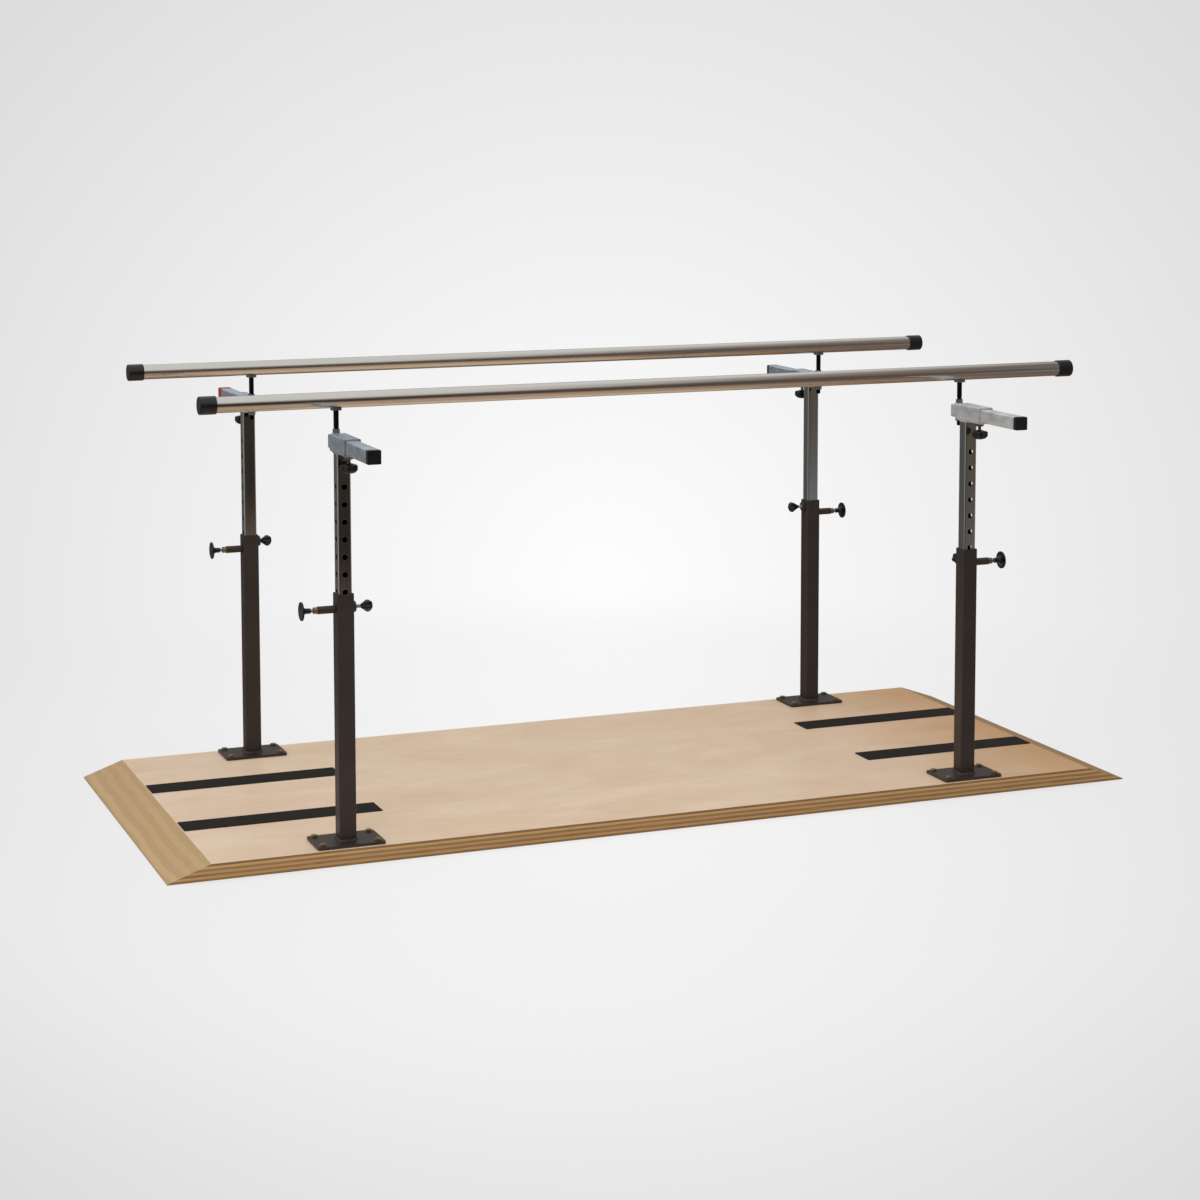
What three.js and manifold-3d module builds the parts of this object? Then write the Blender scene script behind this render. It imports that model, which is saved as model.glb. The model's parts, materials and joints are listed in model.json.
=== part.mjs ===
// Walking parallel bars on a plywood platform: two polished rails carried by four telescoping uprights.
// Units are millimetres and +Z is up. The origin lies on the floor under the middle of the platform.
// X runs along the rails and Y runs across the lane, with the front rail at -Y.

import * as THREE from 'three';
import { mergeVertices } from 'three/addons/utils/BufferGeometryUtils.js';
import Module from 'manifold-3d';

const wasm = await Module();
wasm.setup();

// Running gap kept between pieces that touch or slide, and the overrun of every cutting tool
const GAP = 0.3;
const OVERRUN = 1;

// Facet counts for round work
const FACETS = { rail: 20, turned: 12, knob: 12, hub: 10, hole: 8, stud: 8, bolt: 6, corner: 2, capCorner: 1, lobe: 4 };

// Platform: one laminated plywood board with a bevelled ramp at each end
const PLATFORM = { length: 2346, width: 956, thickness: 36, rampRun: 95, nose: 2.5 };

// Grip strips: two at each end, laid from the top of the ramp towards the middle
const STRIP = { length: 457, width: 76, thickness: 1.2, fromCentreLine: 172, fromRamp: 2, corner: 3 };

// Uprights: how far their axes stand in from the platform's ends and sides
const UPRIGHT = { fromEnd: 407, fromSide: 59 };

// Base plate and its four bolts
const PLATE = { length: 152, width: 101, thickness: 6.4, corner: 6 };
const PLATE_BOLT = { edge: 14, shank: 8, depth: 26, headAcrossFlats: 13, headHeight: 5.3 };

// Outer square tube, the clearance a tube slides with, and the wall of the inner tubes
const OUTER_TUBE = { side: 38.1, wall: 3.4, corner: 4, topHeight: 585 };
const SLIDE_CLEARANCE = 0.5;
const INNER_TUBE = { wall: 2.5, corner: 3.2 };

// Height adjustment: holes in the posts at an even pitch, on their two outboard faces
const HEIGHT = { holePitch: 38.1, hole: 12.7, stepsUp: 4, stepsDown: 7, sparedSteps: 1, postInTube: 252 };

// Spring plunger: its housing on the tube, the pin that works in it, and the pull knob
const PLUNGER = {
  belowTubeTop: 34, housing: 17, housingLength: 40, collar: 14.5, collarLength: 9, endWall: 2.4,
  bore: 13, pin: 10, rod: 8, flange: 12.2, flangeLength: 2.4, travel: 6, tipBevel: 1.2, bevel: 1,
};
const PULL_KNOB = { neck: 12, neckLength: 9, disc: 41, flareLength: 9, rimLength: 3, crown: 2.4, waistShare: 0.3 };
const SPRING = { wire: 1.4, coil: 10.4, turns: 4, stepsPerTurn: 8, sides: 4, endRoom: 0.5 };

// Tension screw: a lobed knob on a screw through a boss on the tube's inboard side. The front tubes carry it lower
// than the back ones, and two of the four screws are shorter, so that their knobs stand closer. One tube carries it
// on the side that faces the lane instead.
const TENSION = { belowTubeTop: { front: 31, back: 17 }, screw: 8, boss: 24, bossLength: 7 };
const TENSION_KNOB_FROM_AXIS = { long: 37.5, short: 28 };
const SHORT_SCREW_AT = ['back_left', 'front_right'];
const LANE_SCREW_AT = 'front_right';
const TENSION_KNOB = { across: 27.5, hub: 9, coneLength: 13, lobeLength: 8, crown: 6, lobes: 5, lobeDepthShare: 0.2 };

// Head of the upright: the sleeve across the post, the arm that slides in it, and the arm's end cap
const HEAD = { belowRail: 90, sleeveIn: 29, sleeveOut: 82, armIn: 56, armOut: 232 };
const ARM_CAP = { head: { black: 12, red: 35 }, bevel: 1.6, insert: 14 };
const RED_CAP_AT = 'back_left';

// Width screw under the sleeve
const WIDTH = { fromPost: 54, screw: 8, nutAcrossFlats: 17, nutHeight: 8, screwShows: 9 };
const WIDTH_KNOB = { across: 39, hub: 14, coneLength: 3, lobeLength: 13, crown: 6, lobes: 5, lobeDepthShare: 0.16 };

// Rail stud: a cupped saddle under the rail on a threaded rod that is bolted through the arm
const STUD = {
  fromPost: 43, rod: 12, saddleLength: 22, saddleWidth: 20, saddleThickness: 4.5,
  flareTop: 14, flareFoot: 20, flareHeight: 12, nutAcrossFlats: 16, nutHeight: 9, tail: 11, intoRail: 7,
};

// Rails and their slip-over caps
const RAIL = { length: 2128, diameter: 34.9, wall: 2, height: 1000 };
const RAIL_CAP = { diameter: 39.5, length: 37, endWall: 3, bevel: 2.5 };

// Places that follow from the sizes above
const UPRIGHT_X = PLATFORM.length / 2 - UPRIGHT.fromEnd;
const UPRIGHT_Y = PLATFORM.width / 2 - UPRIGHT.fromSide;
const TUBE_BORE = OUTER_TUBE.side - 2 * OUTER_TUBE.wall;
const POST_SIDE = TUBE_BORE - 2 * SLIDE_CLEARANCE;
const PLATE_TOP = PLATFORM.thickness + GAP + PLATE.thickness;
const PIN_HEIGHT = OUTER_TUBE.topHeight - PLUNGER.belowTubeTop;
const ARM_HEIGHT = RAIL.height - HEAD.belowRail;
const SLEEVE_BOTTOM = ARM_HEIGHT - OUTER_TUBE.side / 2;
const POST_BOTTOM = OUTER_TUBE.topHeight - HEIGHT.postInTube;
const POST_TOP = SLEEVE_BOTTOM - GAP;
const HOUSING_START = OUTER_TUBE.side / 2 + GAP;
const HOUSING_END = OUTER_TUBE.side / 2 + PLUNGER.housingLength;
const COLLAR_END = HOUSING_END + PLUNGER.collarLength;
const PIN_TIP = POST_SIDE / 2 + 2 * GAP;
const FLANGE_END = HOUSING_START + GAP + PLUNGER.travel + PLUNGER.flangeLength;
const KNOB_START = COLLAR_END + GAP + PLUNGER.travel;

// Materials, one for each finish
const finish = (color, roughness, metalness) => new THREE.MeshStandardMaterial({ color, roughness, metalness });
const BIRCH = finish('#d3b48c', 0.45, 0);
const GRIP = finish('#2e2724', 0.95, 0);
const BLACK_PAINT = finish('#332b27', 0.45, 0.1);
const BLACK_PLASTIC = finish('#15161a', 0.35, 0);
const RED_PLASTIC = finish('#7a1f1d', 0.35, 0);
const ZINC = finish('#9aa3a8', 0.4, 0.9);
const CHROME = finish('#c9c9c6', 0.15, 1);
const STEEL = finish('#8d8f90', 0.35, 0.9);

// Closed mesh to solid and back, for the joins and cuts
function toSolid(geometry) {
  const bare = geometry.clone();
  bare.deleteAttribute('normal');
  bare.deleteAttribute('uv');
  const merged = mergeVertices(bare);
  return new wasm.Manifold(new wasm.Mesh({
    numProp: 3,
    vertProperties: merged.attributes.position.array,
    triVerts: new Uint32Array(merged.index.array),
  }));
}

function toGeometry(solid) {
  const mesh = solid.getMesh();
  const indexed = new THREE.BufferGeometry();
  indexed.setAttribute('position', new THREE.BufferAttribute(mesh.vertProperties, 3));
  indexed.setIndex(new THREE.BufferAttribute(mesh.triVerts, 1));
  const flat = indexed.toNonIndexed();
  flat.computeVertexNormals();
  return flat;
}

function join(base, ...others) {
  return toGeometry(others.reduce((solid, other) => solid.add(toSolid(other)), toSolid(base)));
}

function cut(base, ...tools) {
  return toGeometry(tools.reduce((solid, tool) => solid.subtract(toSolid(tool)), toSolid(base)));
}

// Outlines
function roundedRectangle(width, height, radius) {
  const x = width / 2 - radius;
  const y = height / 2 - radius;
  const quarter = Math.PI / 2;
  const outline = new THREE.Shape();
  [[x, y], [-x, y], [-x, -y], [x, -y]].forEach(([cornerX, cornerY], i) => {
    outline.absarc(cornerX, cornerY, radius, i * quarter, (i + 1) * quarter, false);
  });
  return outline;
}

function rectangle(width, height) {
  const x = width / 2;
  const y = height / 2;
  return new THREE.Shape([[x, y], [-x, y], [-x, -y], [x, -y]].map((corner) => new THREE.Vector2(...corner)));
}

// A lobed hand knob seen from its end: a circle that a cosine draws in between the lobes
function lobedOutline(across, lobes, depthShare) {
  const steps = lobes * FACETS.lobe;
  const outline = new THREE.Shape();
  for (let i = 0; i < steps; i++) {
    const angle = (i / steps) * 2 * Math.PI;
    const radius = (across / 2) * (1 - (depthShare * (1 - Math.cos(lobes * angle))) / 2);
    const point = [radius * Math.cos(angle), radius * Math.sin(angle)];
    if (i === 0) outline.moveTo(...point);
    else outline.lineTo(...point);
  }
  outline.closePath();
  return outline;
}

// Solids along +Z from a start height; alongX and alongY lay them down
function prism(outline, from, to) {
  const geometry = new THREE.ExtrudeGeometry(outline, {
    depth: to - from, bevelEnabled: false, curveSegments: FACETS.corner,
  });
  return geometry.translate(0, 0, from);
}

function squareTube(side, wall, corner, from, to) {
  const bore = side - 2 * wall;
  return cut(
    prism(roundedRectangle(side, side, corner), from, to),
    prism(rectangle(bore, bore), from - OVERRUN, to + OVERRUN),
  );
}

function rod(diameter, from, to, facets) {
  const geometry = new THREE.CylinderGeometry(diameter / 2, diameter / 2, to - from, facets);
  return geometry.rotateX(Math.PI / 2).translate(0, 0, (from + to) / 2);
}

// Cutting tool for a hole that a rod of that diameter turns in: the hole's flats clear the rod's corners
function drill(diameter, from, to, facets) {
  return rod((diameter + 2 * GAP) / Math.cos(Math.PI / facets), from, to, facets);
}

function hexagon(acrossFlats, from, to) {
  return rod(acrossFlats / Math.cos(Math.PI / 6), from, to, 6);
}

function cone(fromDiameter, toDiameter, from, to, facets) {
  const geometry = new THREE.CylinderGeometry(toDiameter / 2, fromDiameter / 2, to - from, facets);
  return geometry.rotateX(Math.PI / 2).translate(0, 0, (from + to) / 2);
}

// Profile points are [radius, height] and run counter-clockwise, so the faces point out
function turned(points, facets) {
  const profile = points.map(([radius, height]) => new THREE.Vector2(radius, height));
  return new THREE.LatheGeometry(profile, facets).rotateX(Math.PI / 2);
}

const alongX = (geometry) => geometry.rotateY(Math.PI / 2);
const alongY = (geometry) => geometry.rotateX(-Math.PI / 2);

// Platform, and its blind holes for the plate bolts
function platformGeometry() {
  const half = PLATFORM.length / 2;
  const outline = new THREE.Shape([
    new THREE.Vector2(-half, 0),
    new THREE.Vector2(half, 0),
    new THREE.Vector2(half, PLATFORM.nose),
    new THREE.Vector2(half - PLATFORM.rampRun, PLATFORM.thickness),
    new THREE.Vector2(-half + PLATFORM.rampRun, PLATFORM.thickness),
    new THREE.Vector2(-half, PLATFORM.nose),
  ]);
  const board = prism(outline, 0, PLATFORM.width).rotateX(Math.PI / 2).translate(0, PLATFORM.width / 2, 0);
  const bottom = PLATFORM.thickness - PLATE_BOLT.depth - GAP;
  const holes = corners().flatMap(([alongSign, acrossSign]) =>
    boltPlaces().map(([x, y]) =>
      drill(PLATE_BOLT.shank, bottom, PLATFORM.thickness + OVERRUN, FACETS.bolt)
        .translate(alongSign * UPRIGHT_X + x, acrossSign * UPRIGHT_Y + y, 0)));
  return cut(board, ...holes);
}

function corners() {
  return [[-1, -1], [1, -1], [-1, 1], [1, 1]];
}

function boltPlaces() {
  const x = PLATE.length / 2 - PLATE_BOLT.edge;
  const y = PLATE.width / 2 - PLATE_BOLT.edge;
  return corners().map(([signX, signY]) => [signX * x, signY * y]);
}

function stripGeometry() {
  const outline = roundedRectangle(STRIP.length, STRIP.width, STRIP.corner);
  const bottom = PLATFORM.thickness + GAP;
  return prism(outline, bottom, bottom + STRIP.thickness);
}

// Base plate with its bolts driven down into the board
function basePlateGeometry() {
  const bottom = PLATFORM.thickness + GAP;
  const plate = prism(roundedRectangle(PLATE.length, PLATE.width, PLATE.corner), bottom, PLATE_TOP);
  const bolts = boltPlaces().flatMap(([x, y]) => [
    hexagon(PLATE_BOLT.headAcrossFlats, PLATE_TOP - OVERRUN, PLATE_TOP + PLATE_BOLT.headHeight).translate(x, y, 0),
    rod(PLATE_BOLT.shank, PLATFORM.thickness - PLATE_BOLT.depth, PLATE_TOP - OVERRUN, FACETS.bolt).translate(x, y, 0),
  ]);
  return join(plate, ...bolts);
}

// Outer tube: pin hole on its outboard side, boss and screw hole on its inboard side. Outboard is +X here, and
// screwTurn swings the boss round the tube from -X.
function outerTubeGeometry(side, screwTurn) {
  const screwHeight = OUTER_TUBE.topHeight - TENSION.belowTubeTop[side];
  const tube = squareTube(
    OUTER_TUBE.side, OUTER_TUBE.wall, OUTER_TUBE.corner, PLATE_TOP + GAP, OUTER_TUBE.topHeight);
  const face = OUTER_TUBE.side / 2;
  const inside = TUBE_BORE / 2;
  const bossStart = inside + OUTER_TUBE.wall / 2;
  const boss = alongX(rod(TENSION.boss, -(face + TENSION.bossLength), -bossStart, FACETS.turned))
    .rotateZ(screwTurn).translate(0, 0, screwHeight);
  const pinHole = alongX(drill(PLUNGER.pin, inside - OVERRUN, face + OVERRUN, FACETS.turned))
    .translate(0, 0, PIN_HEIGHT);
  const screwHole = alongX(drill(
    TENSION.screw, -(face + TENSION.bossLength + OVERRUN), -(inside - OVERRUN), FACETS.hole,
  )).rotateZ(screwTurn).translate(0, 0, screwHeight);
  return cut(join(tube, boss), pinHole, screwHole);
}

// Plunger housing, turned: a wide bore for the spring and a narrow one through the collar for the rod
function plungerHousingGeometry() {
  const outer = PLUNGER.housing / 2;
  const collar = PLUNGER.collar / 2;
  const bore = PLUNGER.bore / 2;
  const rodBore = PLUNGER.rod / 2 + GAP;
  const boreEnd = HOUSING_END - PLUNGER.endWall;
  return alongX(turned([
    [bore, HOUSING_START],
    [outer, HOUSING_START],
    [outer, HOUSING_END - PLUNGER.bevel],
    [outer - PLUNGER.bevel, HOUSING_END],
    [collar, HOUSING_END],
    [collar, COLLAR_END - PLUNGER.bevel],
    [collar - PLUNGER.bevel, COLLAR_END],
    [rodBore, COLLAR_END],
    [rodBore, boreEnd],
    [bore, boreEnd],
    [bore, HOUSING_START],
  ], FACETS.turned)).translate(0, 0, PIN_HEIGHT);
}

// Pull pin: locking pin, spring flange, rod and trumpet knob on one axis, shown drawn back
function pullPinGeometry() {
  const pin = PLUNGER.pin / 2;
  const stem = PLUNGER.rod / 2;
  const flange = PLUNGER.flange / 2;
  const neck = PULL_KNOB.neck / 2;
  const disc = PULL_KNOB.disc / 2;
  const flareStart = KNOB_START + PULL_KNOB.neckLength;
  const rimStart = flareStart + PULL_KNOB.flareLength;
  const rimEnd = rimStart + PULL_KNOB.rimLength;
  const waist = neck + (disc - neck) * PULL_KNOB.waistShare;
  return alongX(turned([
    [0, PIN_TIP],
    [pin - PLUNGER.tipBevel, PIN_TIP],
    [pin, PIN_TIP + PLUNGER.tipBevel],
    [pin, FLANGE_END - PLUNGER.flangeLength],
    [flange, FLANGE_END - PLUNGER.flangeLength],
    [flange, FLANGE_END],
    [stem, FLANGE_END],
    [stem, KNOB_START],
    [neck, KNOB_START],
    [neck, flareStart],
    [waist, (flareStart + rimStart) / 2],
    [disc, rimStart],
    [disc, rimEnd],
    [0, rimEnd + PULL_KNOB.crown],
  ], FACETS.knob)).translate(0, 0, PIN_HEIGHT);
}

// Plunger spring: one closed tube along a helix, squeezed between the flange and the housing's end wall
function plungerSpringGeometry() {
  const start = FLANGE_END + SPRING.endRoom + SPRING.wire / 2;
  const end = HOUSING_END - PLUNGER.endWall - SPRING.endRoom - SPRING.wire / 2;
  const steps = SPRING.turns * SPRING.stepsPerTurn;
  const positions = [];
  for (let i = 0; i <= steps; i++) {
    const angle = (i / SPRING.stepsPerTurn) * 2 * Math.PI;
    const along = start + ((end - start) * i) / steps;
    for (let j = 0; j < SPRING.sides; j++) {
      const turn = (j / SPRING.sides) * 2 * Math.PI;
      const radius = SPRING.coil / 2 + (SPRING.wire / 2) * Math.cos(turn);
      positions.push(along + (SPRING.wire / 2) * Math.sin(turn), radius * Math.cos(angle), radius * Math.sin(angle));
    }
  }
  const index = [];
  const last = steps * SPRING.sides;
  for (let i = 0; i < steps; i++) {
    for (let j = 0; j < SPRING.sides; j++) {
      const here = i * SPRING.sides + j;
      const next = i * SPRING.sides + ((j + 1) % SPRING.sides);
      index.push(here, here + SPRING.sides, next, next, here + SPRING.sides, next + SPRING.sides);
    }
  }
  for (let j = 1; j < SPRING.sides - 1; j++) {
    index.push(0, j, j + 1);
    index.push(last, last + j + 1, last + j);
  }
  const geometry = new THREE.BufferGeometry();
  geometry.setAttribute('position', new THREE.Float32BufferAttribute(positions, 3));
  geometry.setIndex(index);
  geometry.computeVertexNormals();
  return geometry.translate(0, 0, PIN_HEIGHT);
}

// Hand knob along +Z: screw, tapered hub, lobed grip and a low crown
function handKnob(knob, screw, screwFrom, start) {
  const lobesStart = start + knob.coneLength;
  const lobesEnd = lobesStart + knob.lobeLength;
  const root = knob.across * (1 - knob.lobeDepthShare);
  return join(
    prism(lobedOutline(knob.across, knob.lobes, knob.lobeDepthShare), lobesStart, lobesEnd),
    cone(knob.hub, root, start, lobesStart + OVERRUN, FACETS.hub),
    cone(root, knob.hub, lobesEnd - OVERRUN, lobesEnd + knob.crown, FACETS.hub),
    rod(screw, screwFrom, lobesStart, FACETS.hole),
  );
}

// Tension knob: its screw ends just short of the post. Outboard is +X, so the knob points to -X before its turn.
function tensionKnobGeometry(side, screw, screwTurn) {
  const knob = handKnob(TENSION_KNOB, TENSION.screw, POST_SIDE / 2 + GAP, TENSION_KNOB_FROM_AXIS[screw]);
  return alongX(knob).rotateZ(Math.PI + screwTurn)
    .translate(0, 0, OUTER_TUBE.topHeight - TENSION.belowTubeTop[side]);
}

// Width knob: its screw rises through the nut and the sleeve's lower wall to the arm
function widthKnobGeometry() {
  const start = OUTER_TUBE.side / 2 + WIDTH.nutHeight + WIDTH.screwShows;
  const knob = handKnob(WIDTH_KNOB, WIDTH.screw, POST_SIDE / 2 + GAP, start);
  return knob.rotateX(Math.PI).translate(0, WIDTH.fromPost, ARM_HEIGHT);
}

// Post: square tube with the hole rows of the height adjustment on its two outboard faces
function postGeometry(alongSign, acrossSign) {
  const tube = squareTube(POST_SIDE, INNER_TUBE.wall, INNER_TUBE.corner, POST_BOTTOM, POST_TOP);
  const inside = POST_SIDE / 2 - INNER_TUBE.wall - OVERRUN;
  const outside = POST_SIDE / 2 + OVERRUN;
  const holes = [];
  for (let step = -HEIGHT.stepsUp; step <= HEIGHT.stepsDown; step++) {
    const height = PIN_HEIGHT + step * HEIGHT.holePitch;
    const pinHole = alongX(rod(HEIGHT.hole, inside, outside, FACETS.hole));
    holes.push(pinHole.rotateZ(alongSign > 0 ? 0 : Math.PI).translate(0, 0, height));
    if (step < -HEIGHT.sparedSteps) continue;
    const faceHole = alongY(rod(HEIGHT.hole, inside, outside, FACETS.hole));
    holes.push(faceHole.rotateZ(acrossSign > 0 ? 0 : Math.PI).translate(0, 0, height));
  }
  return cut(tube, ...holes);
}

// Sleeve across the post's head, with the width screw's nut under it. Outboard is +Y.
function sleeveGeometry() {
  const tube = alongY(squareTube(
    OUTER_TUBE.side, OUTER_TUBE.wall, OUTER_TUBE.corner, -HEAD.sleeveIn, HEAD.sleeveOut));
  const half = OUTER_TUBE.side / 2;
  const nut = hexagon(WIDTH.nutAcrossFlats, -half - WIDTH.nutHeight, -half + OUTER_TUBE.wall / 2)
    .translate(0, WIDTH.fromPost, 0);
  const hole = drill(WIDTH.screw, -half - WIDTH.nutHeight - OVERRUN, -TUBE_BORE / 2 + OVERRUN, FACETS.hole)
    .translate(0, WIDTH.fromPost, 0);
  return cut(join(tube, nut), hole).translate(0, 0, ARM_HEIGHT);
}

// How far an arm's tube reaches: the red cap is longer, and its tube is shorter by as much
function armReach(cap) {
  return HEAD.armOut + ARM_CAP.head.black - ARM_CAP.head[cap];
}

// Arm: square tube through the sleeve, drilled for the rail stud near its inner end
function armGeometry(cap) {
  const tube = alongY(squareTube(POST_SIDE, INNER_TUBE.wall, INNER_TUBE.corner, -HEAD.armIn, armReach(cap)));
  const reach = POST_SIDE / 2 + OVERRUN;
  const studHole = drill(STUD.rod, -reach, reach, FACETS.stud).translate(0, -STUD.fromPost, 0);
  return cut(tube, studHole).translate(0, 0, ARM_HEIGHT);
}

// Arm cap: a bevelled head over the tube's end and an insert in its bore
function armCapGeometry(cap) {
  const start = armReach(cap) + GAP;
  const bore = POST_SIDE - 2 * INNER_TUBE.wall - 2 * GAP;
  const inner = POST_SIDE - 2 * ARM_CAP.bevel;
  const head = new THREE.ExtrudeGeometry(roundedRectangle(inner, inner, INNER_TUBE.corner - ARM_CAP.bevel / 2), {
    depth: ARM_CAP.head[cap] - 2 * ARM_CAP.bevel, bevelThickness: ARM_CAP.bevel, bevelSize: ARM_CAP.bevel,
    bevelSegments: 1, curveSegments: FACETS.capCorner,
  }).translate(0, 0, start + ARM_CAP.bevel);
  const insert = prism(rectangle(bore, bore), start - ARM_CAP.insert, start + ARM_CAP.bevel + OVERRUN);
  return alongY(join(head, insert)).translate(0, 0, ARM_HEIGHT);
}

// Rail stud: the saddle is cupped to the rail and the rod runs down through the arm to its nut
function railStudGeometry() {
  const armTop = POST_SIDE / 2 + GAP;
  const armBottom = -POST_SIDE / 2 - GAP;
  const nutBottom = armBottom - STUD.nutHeight;
  const cupRadius = RAIL.diameter / 2 + GAP;
  const saddleTop = HEAD.belowRail - Math.sqrt(cupRadius ** 2 - (STUD.saddleWidth / 2) ** 2);
  const saddleBottom = HEAD.belowRail - cupRadius - STUD.saddleThickness;
  const block = prism(rectangle(STUD.saddleLength, STUD.saddleWidth), saddleBottom, saddleTop);
  const cup = alongX(rod(2 * cupRadius, -STUD.saddleLength, STUD.saddleLength, FACETS.rail))
    .translate(0, 0, HEAD.belowRail);
  const stud = join(
    cut(block, cup),
    rod(STUD.rod, nutBottom - STUD.tail, HEAD.belowRail - RAIL.diameter / 2 + STUD.intoRail, FACETS.stud),
    cone(STUD.flareFoot, STUD.flareTop, armTop, armTop + STUD.flareHeight, FACETS.stud),
    hexagon(STUD.nutAcrossFlats, nutBottom, armBottom),
  );
  return stud.translate(0, -STUD.fromPost, ARM_HEIGHT);
}

// Rail: polished tube with a hole in its underside over each stud
function railGeometry() {
  const outer = RAIL.diameter / 2;
  const inner = outer - RAIL.wall;
  const half = RAIL.length / 2;
  const tube = alongX(turned([[inner, -half], [outer, -half], [outer, half], [inner, half], [inner, -half]], FACETS.rail));
  const holes = [-1, 1].map((sign) =>
    drill(STUD.rod, -outer - OVERRUN, 0, FACETS.stud).translate(sign * UPRIGHT_X, 0, 0));
  return cut(tube, ...holes);
}

// Rail cap: a bevelled cup that slips over the rail's end, opening towards -X
function railCapGeometry() {
  const outer = RAIL_CAP.diameter / 2;
  const inner = RAIL.diameter / 2 + GAP;
  const floor = RAIL.length / 2 + GAP;
  const end = floor + RAIL_CAP.endWall;
  const mouth = end - RAIL_CAP.length;
  return alongX(turned([
    [0, floor],
    [inner, floor],
    [inner, mouth],
    [outer, mouth],
    [outer, end - RAIL_CAP.bevel],
    [outer - RAIL_CAP.bevel, end],
    [0, end],
  ], FACETS.rail));
}

// Assembly
const bars = new THREE.Group();

function place(parent, name, geometry, material) {
  const mesh = new THREE.Mesh(geometry, material);
  mesh.name = name;
  parent.add(mesh);
  return mesh;
}

const stripGeometryOnce = stripGeometry();
const basePlate = basePlateGeometry();
const plungerHousing = plungerHousingGeometry();
const pullPin = pullPinGeometry();
const plungerSpring = plungerSpringGeometry();
const sleeve = sleeveGeometry();
const widthKnob = widthKnobGeometry();
const railStud = railStudGeometry();
const rail = railGeometry();
const railCap = railCapGeometry();

place(bars, 'platform', platformGeometry(), BIRCH);

for (const [end, alongSign] of [['left', -1], ['right', 1]]) {
  for (const [side, acrossSign] of [['front', -1], ['back', 1]]) {
    const strip = place(bars, `${side}_${end}_grip_strip`, stripGeometryOnce, GRIP);
    strip.position.x = alongSign * (PLATFORM.length / 2 - PLATFORM.rampRun - STRIP.fromRamp - STRIP.length / 2);
    strip.position.y = acrossSign * STRIP.fromCentreLine;

    const upright = new THREE.Group();
    upright.position.set(alongSign * UPRIGHT_X, acrossSign * UPRIGHT_Y, 0);
    bars.add(upright);
    const outboardAlong = new THREE.Group();
    outboardAlong.rotation.z = alongSign > 0 ? 0 : Math.PI;
    upright.add(outboardAlong);
    const outboardAcross = new THREE.Group();
    outboardAcross.rotation.z = acrossSign > 0 ? 0 : Math.PI;
    upright.add(outboardAcross);
    const name = `${side}_${end}`;

    place(upright, `${name}_base_plate`, basePlate, BLACK_PAINT);
    const screwTurn = name === LANE_SCREW_AT ? -Math.PI / 2 : 0;
    place(outboardAlong, `${name}_outer_tube`, outerTubeGeometry(side, screwTurn), BLACK_PAINT);
    place(outboardAlong, `${name}_plunger_housing`, plungerHousing, BLACK_PAINT);
    place(outboardAlong, `${name}_pull_pin`, pullPin, BLACK_PLASTIC);
    place(outboardAlong, `${name}_plunger_spring`, plungerSpring, STEEL);
    const screw = SHORT_SCREW_AT.includes(name) ? 'short' : 'long';
    place(outboardAlong, `${name}_tension_knob`, tensionKnobGeometry(side, screw, screwTurn), BLACK_PLASTIC);
    place(upright, `${name}_post`, postGeometry(alongSign, acrossSign), CHROME);
    place(outboardAcross, `${name}_sleeve`, sleeve, ZINC);
    const cap = name === RED_CAP_AT ? 'red' : 'black';
    place(outboardAcross, `${name}_arm`, armGeometry(cap), ZINC);
    place(outboardAcross, `${name}_arm_cap`, armCapGeometry(cap), cap === 'red' ? RED_PLASTIC : BLACK_PLASTIC);
    place(outboardAcross, `${name}_width_knob`, widthKnob, BLACK_PLASTIC);
    place(outboardAcross, `${name}_rail_stud`, railStud, STEEL);
  }
}

// Rails, each with a cap on either end
for (const [side, acrossSign] of [['front', -1], ['back', 1]]) {
  const railAxis = new THREE.Group();
  railAxis.position.set(0, acrossSign * (UPRIGHT_Y - STUD.fromPost), RAIL.height);
  bars.add(railAxis);
  place(railAxis, `${side}_rail`, rail, CHROME);
  for (const [end, alongSign] of [['left', -1], ['right', 1]]) {
    const cap = place(railAxis, `${side}_${end}_rail_cap`, railCap, BLACK_PLASTIC);
    cap.rotation.z = alongSign > 0 ? 0 : Math.PI;
  }
}

export default bars;
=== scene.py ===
"""Walking parallel bars on a plywood platform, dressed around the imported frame.

Every size is in metres, in the frame's own axes: X along the rails, Y across the lane, Z up from the floor.
Each operator makes one group of pieces, and the panel in the 3D view's sidebar lists them.
"""

import functools
import json
import math

import bmesh
import bpy
from bpy.props import FloatProperty, FloatVectorProperty, IntProperty, PointerProperty
from mathutils import Matrix, Vector


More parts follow.
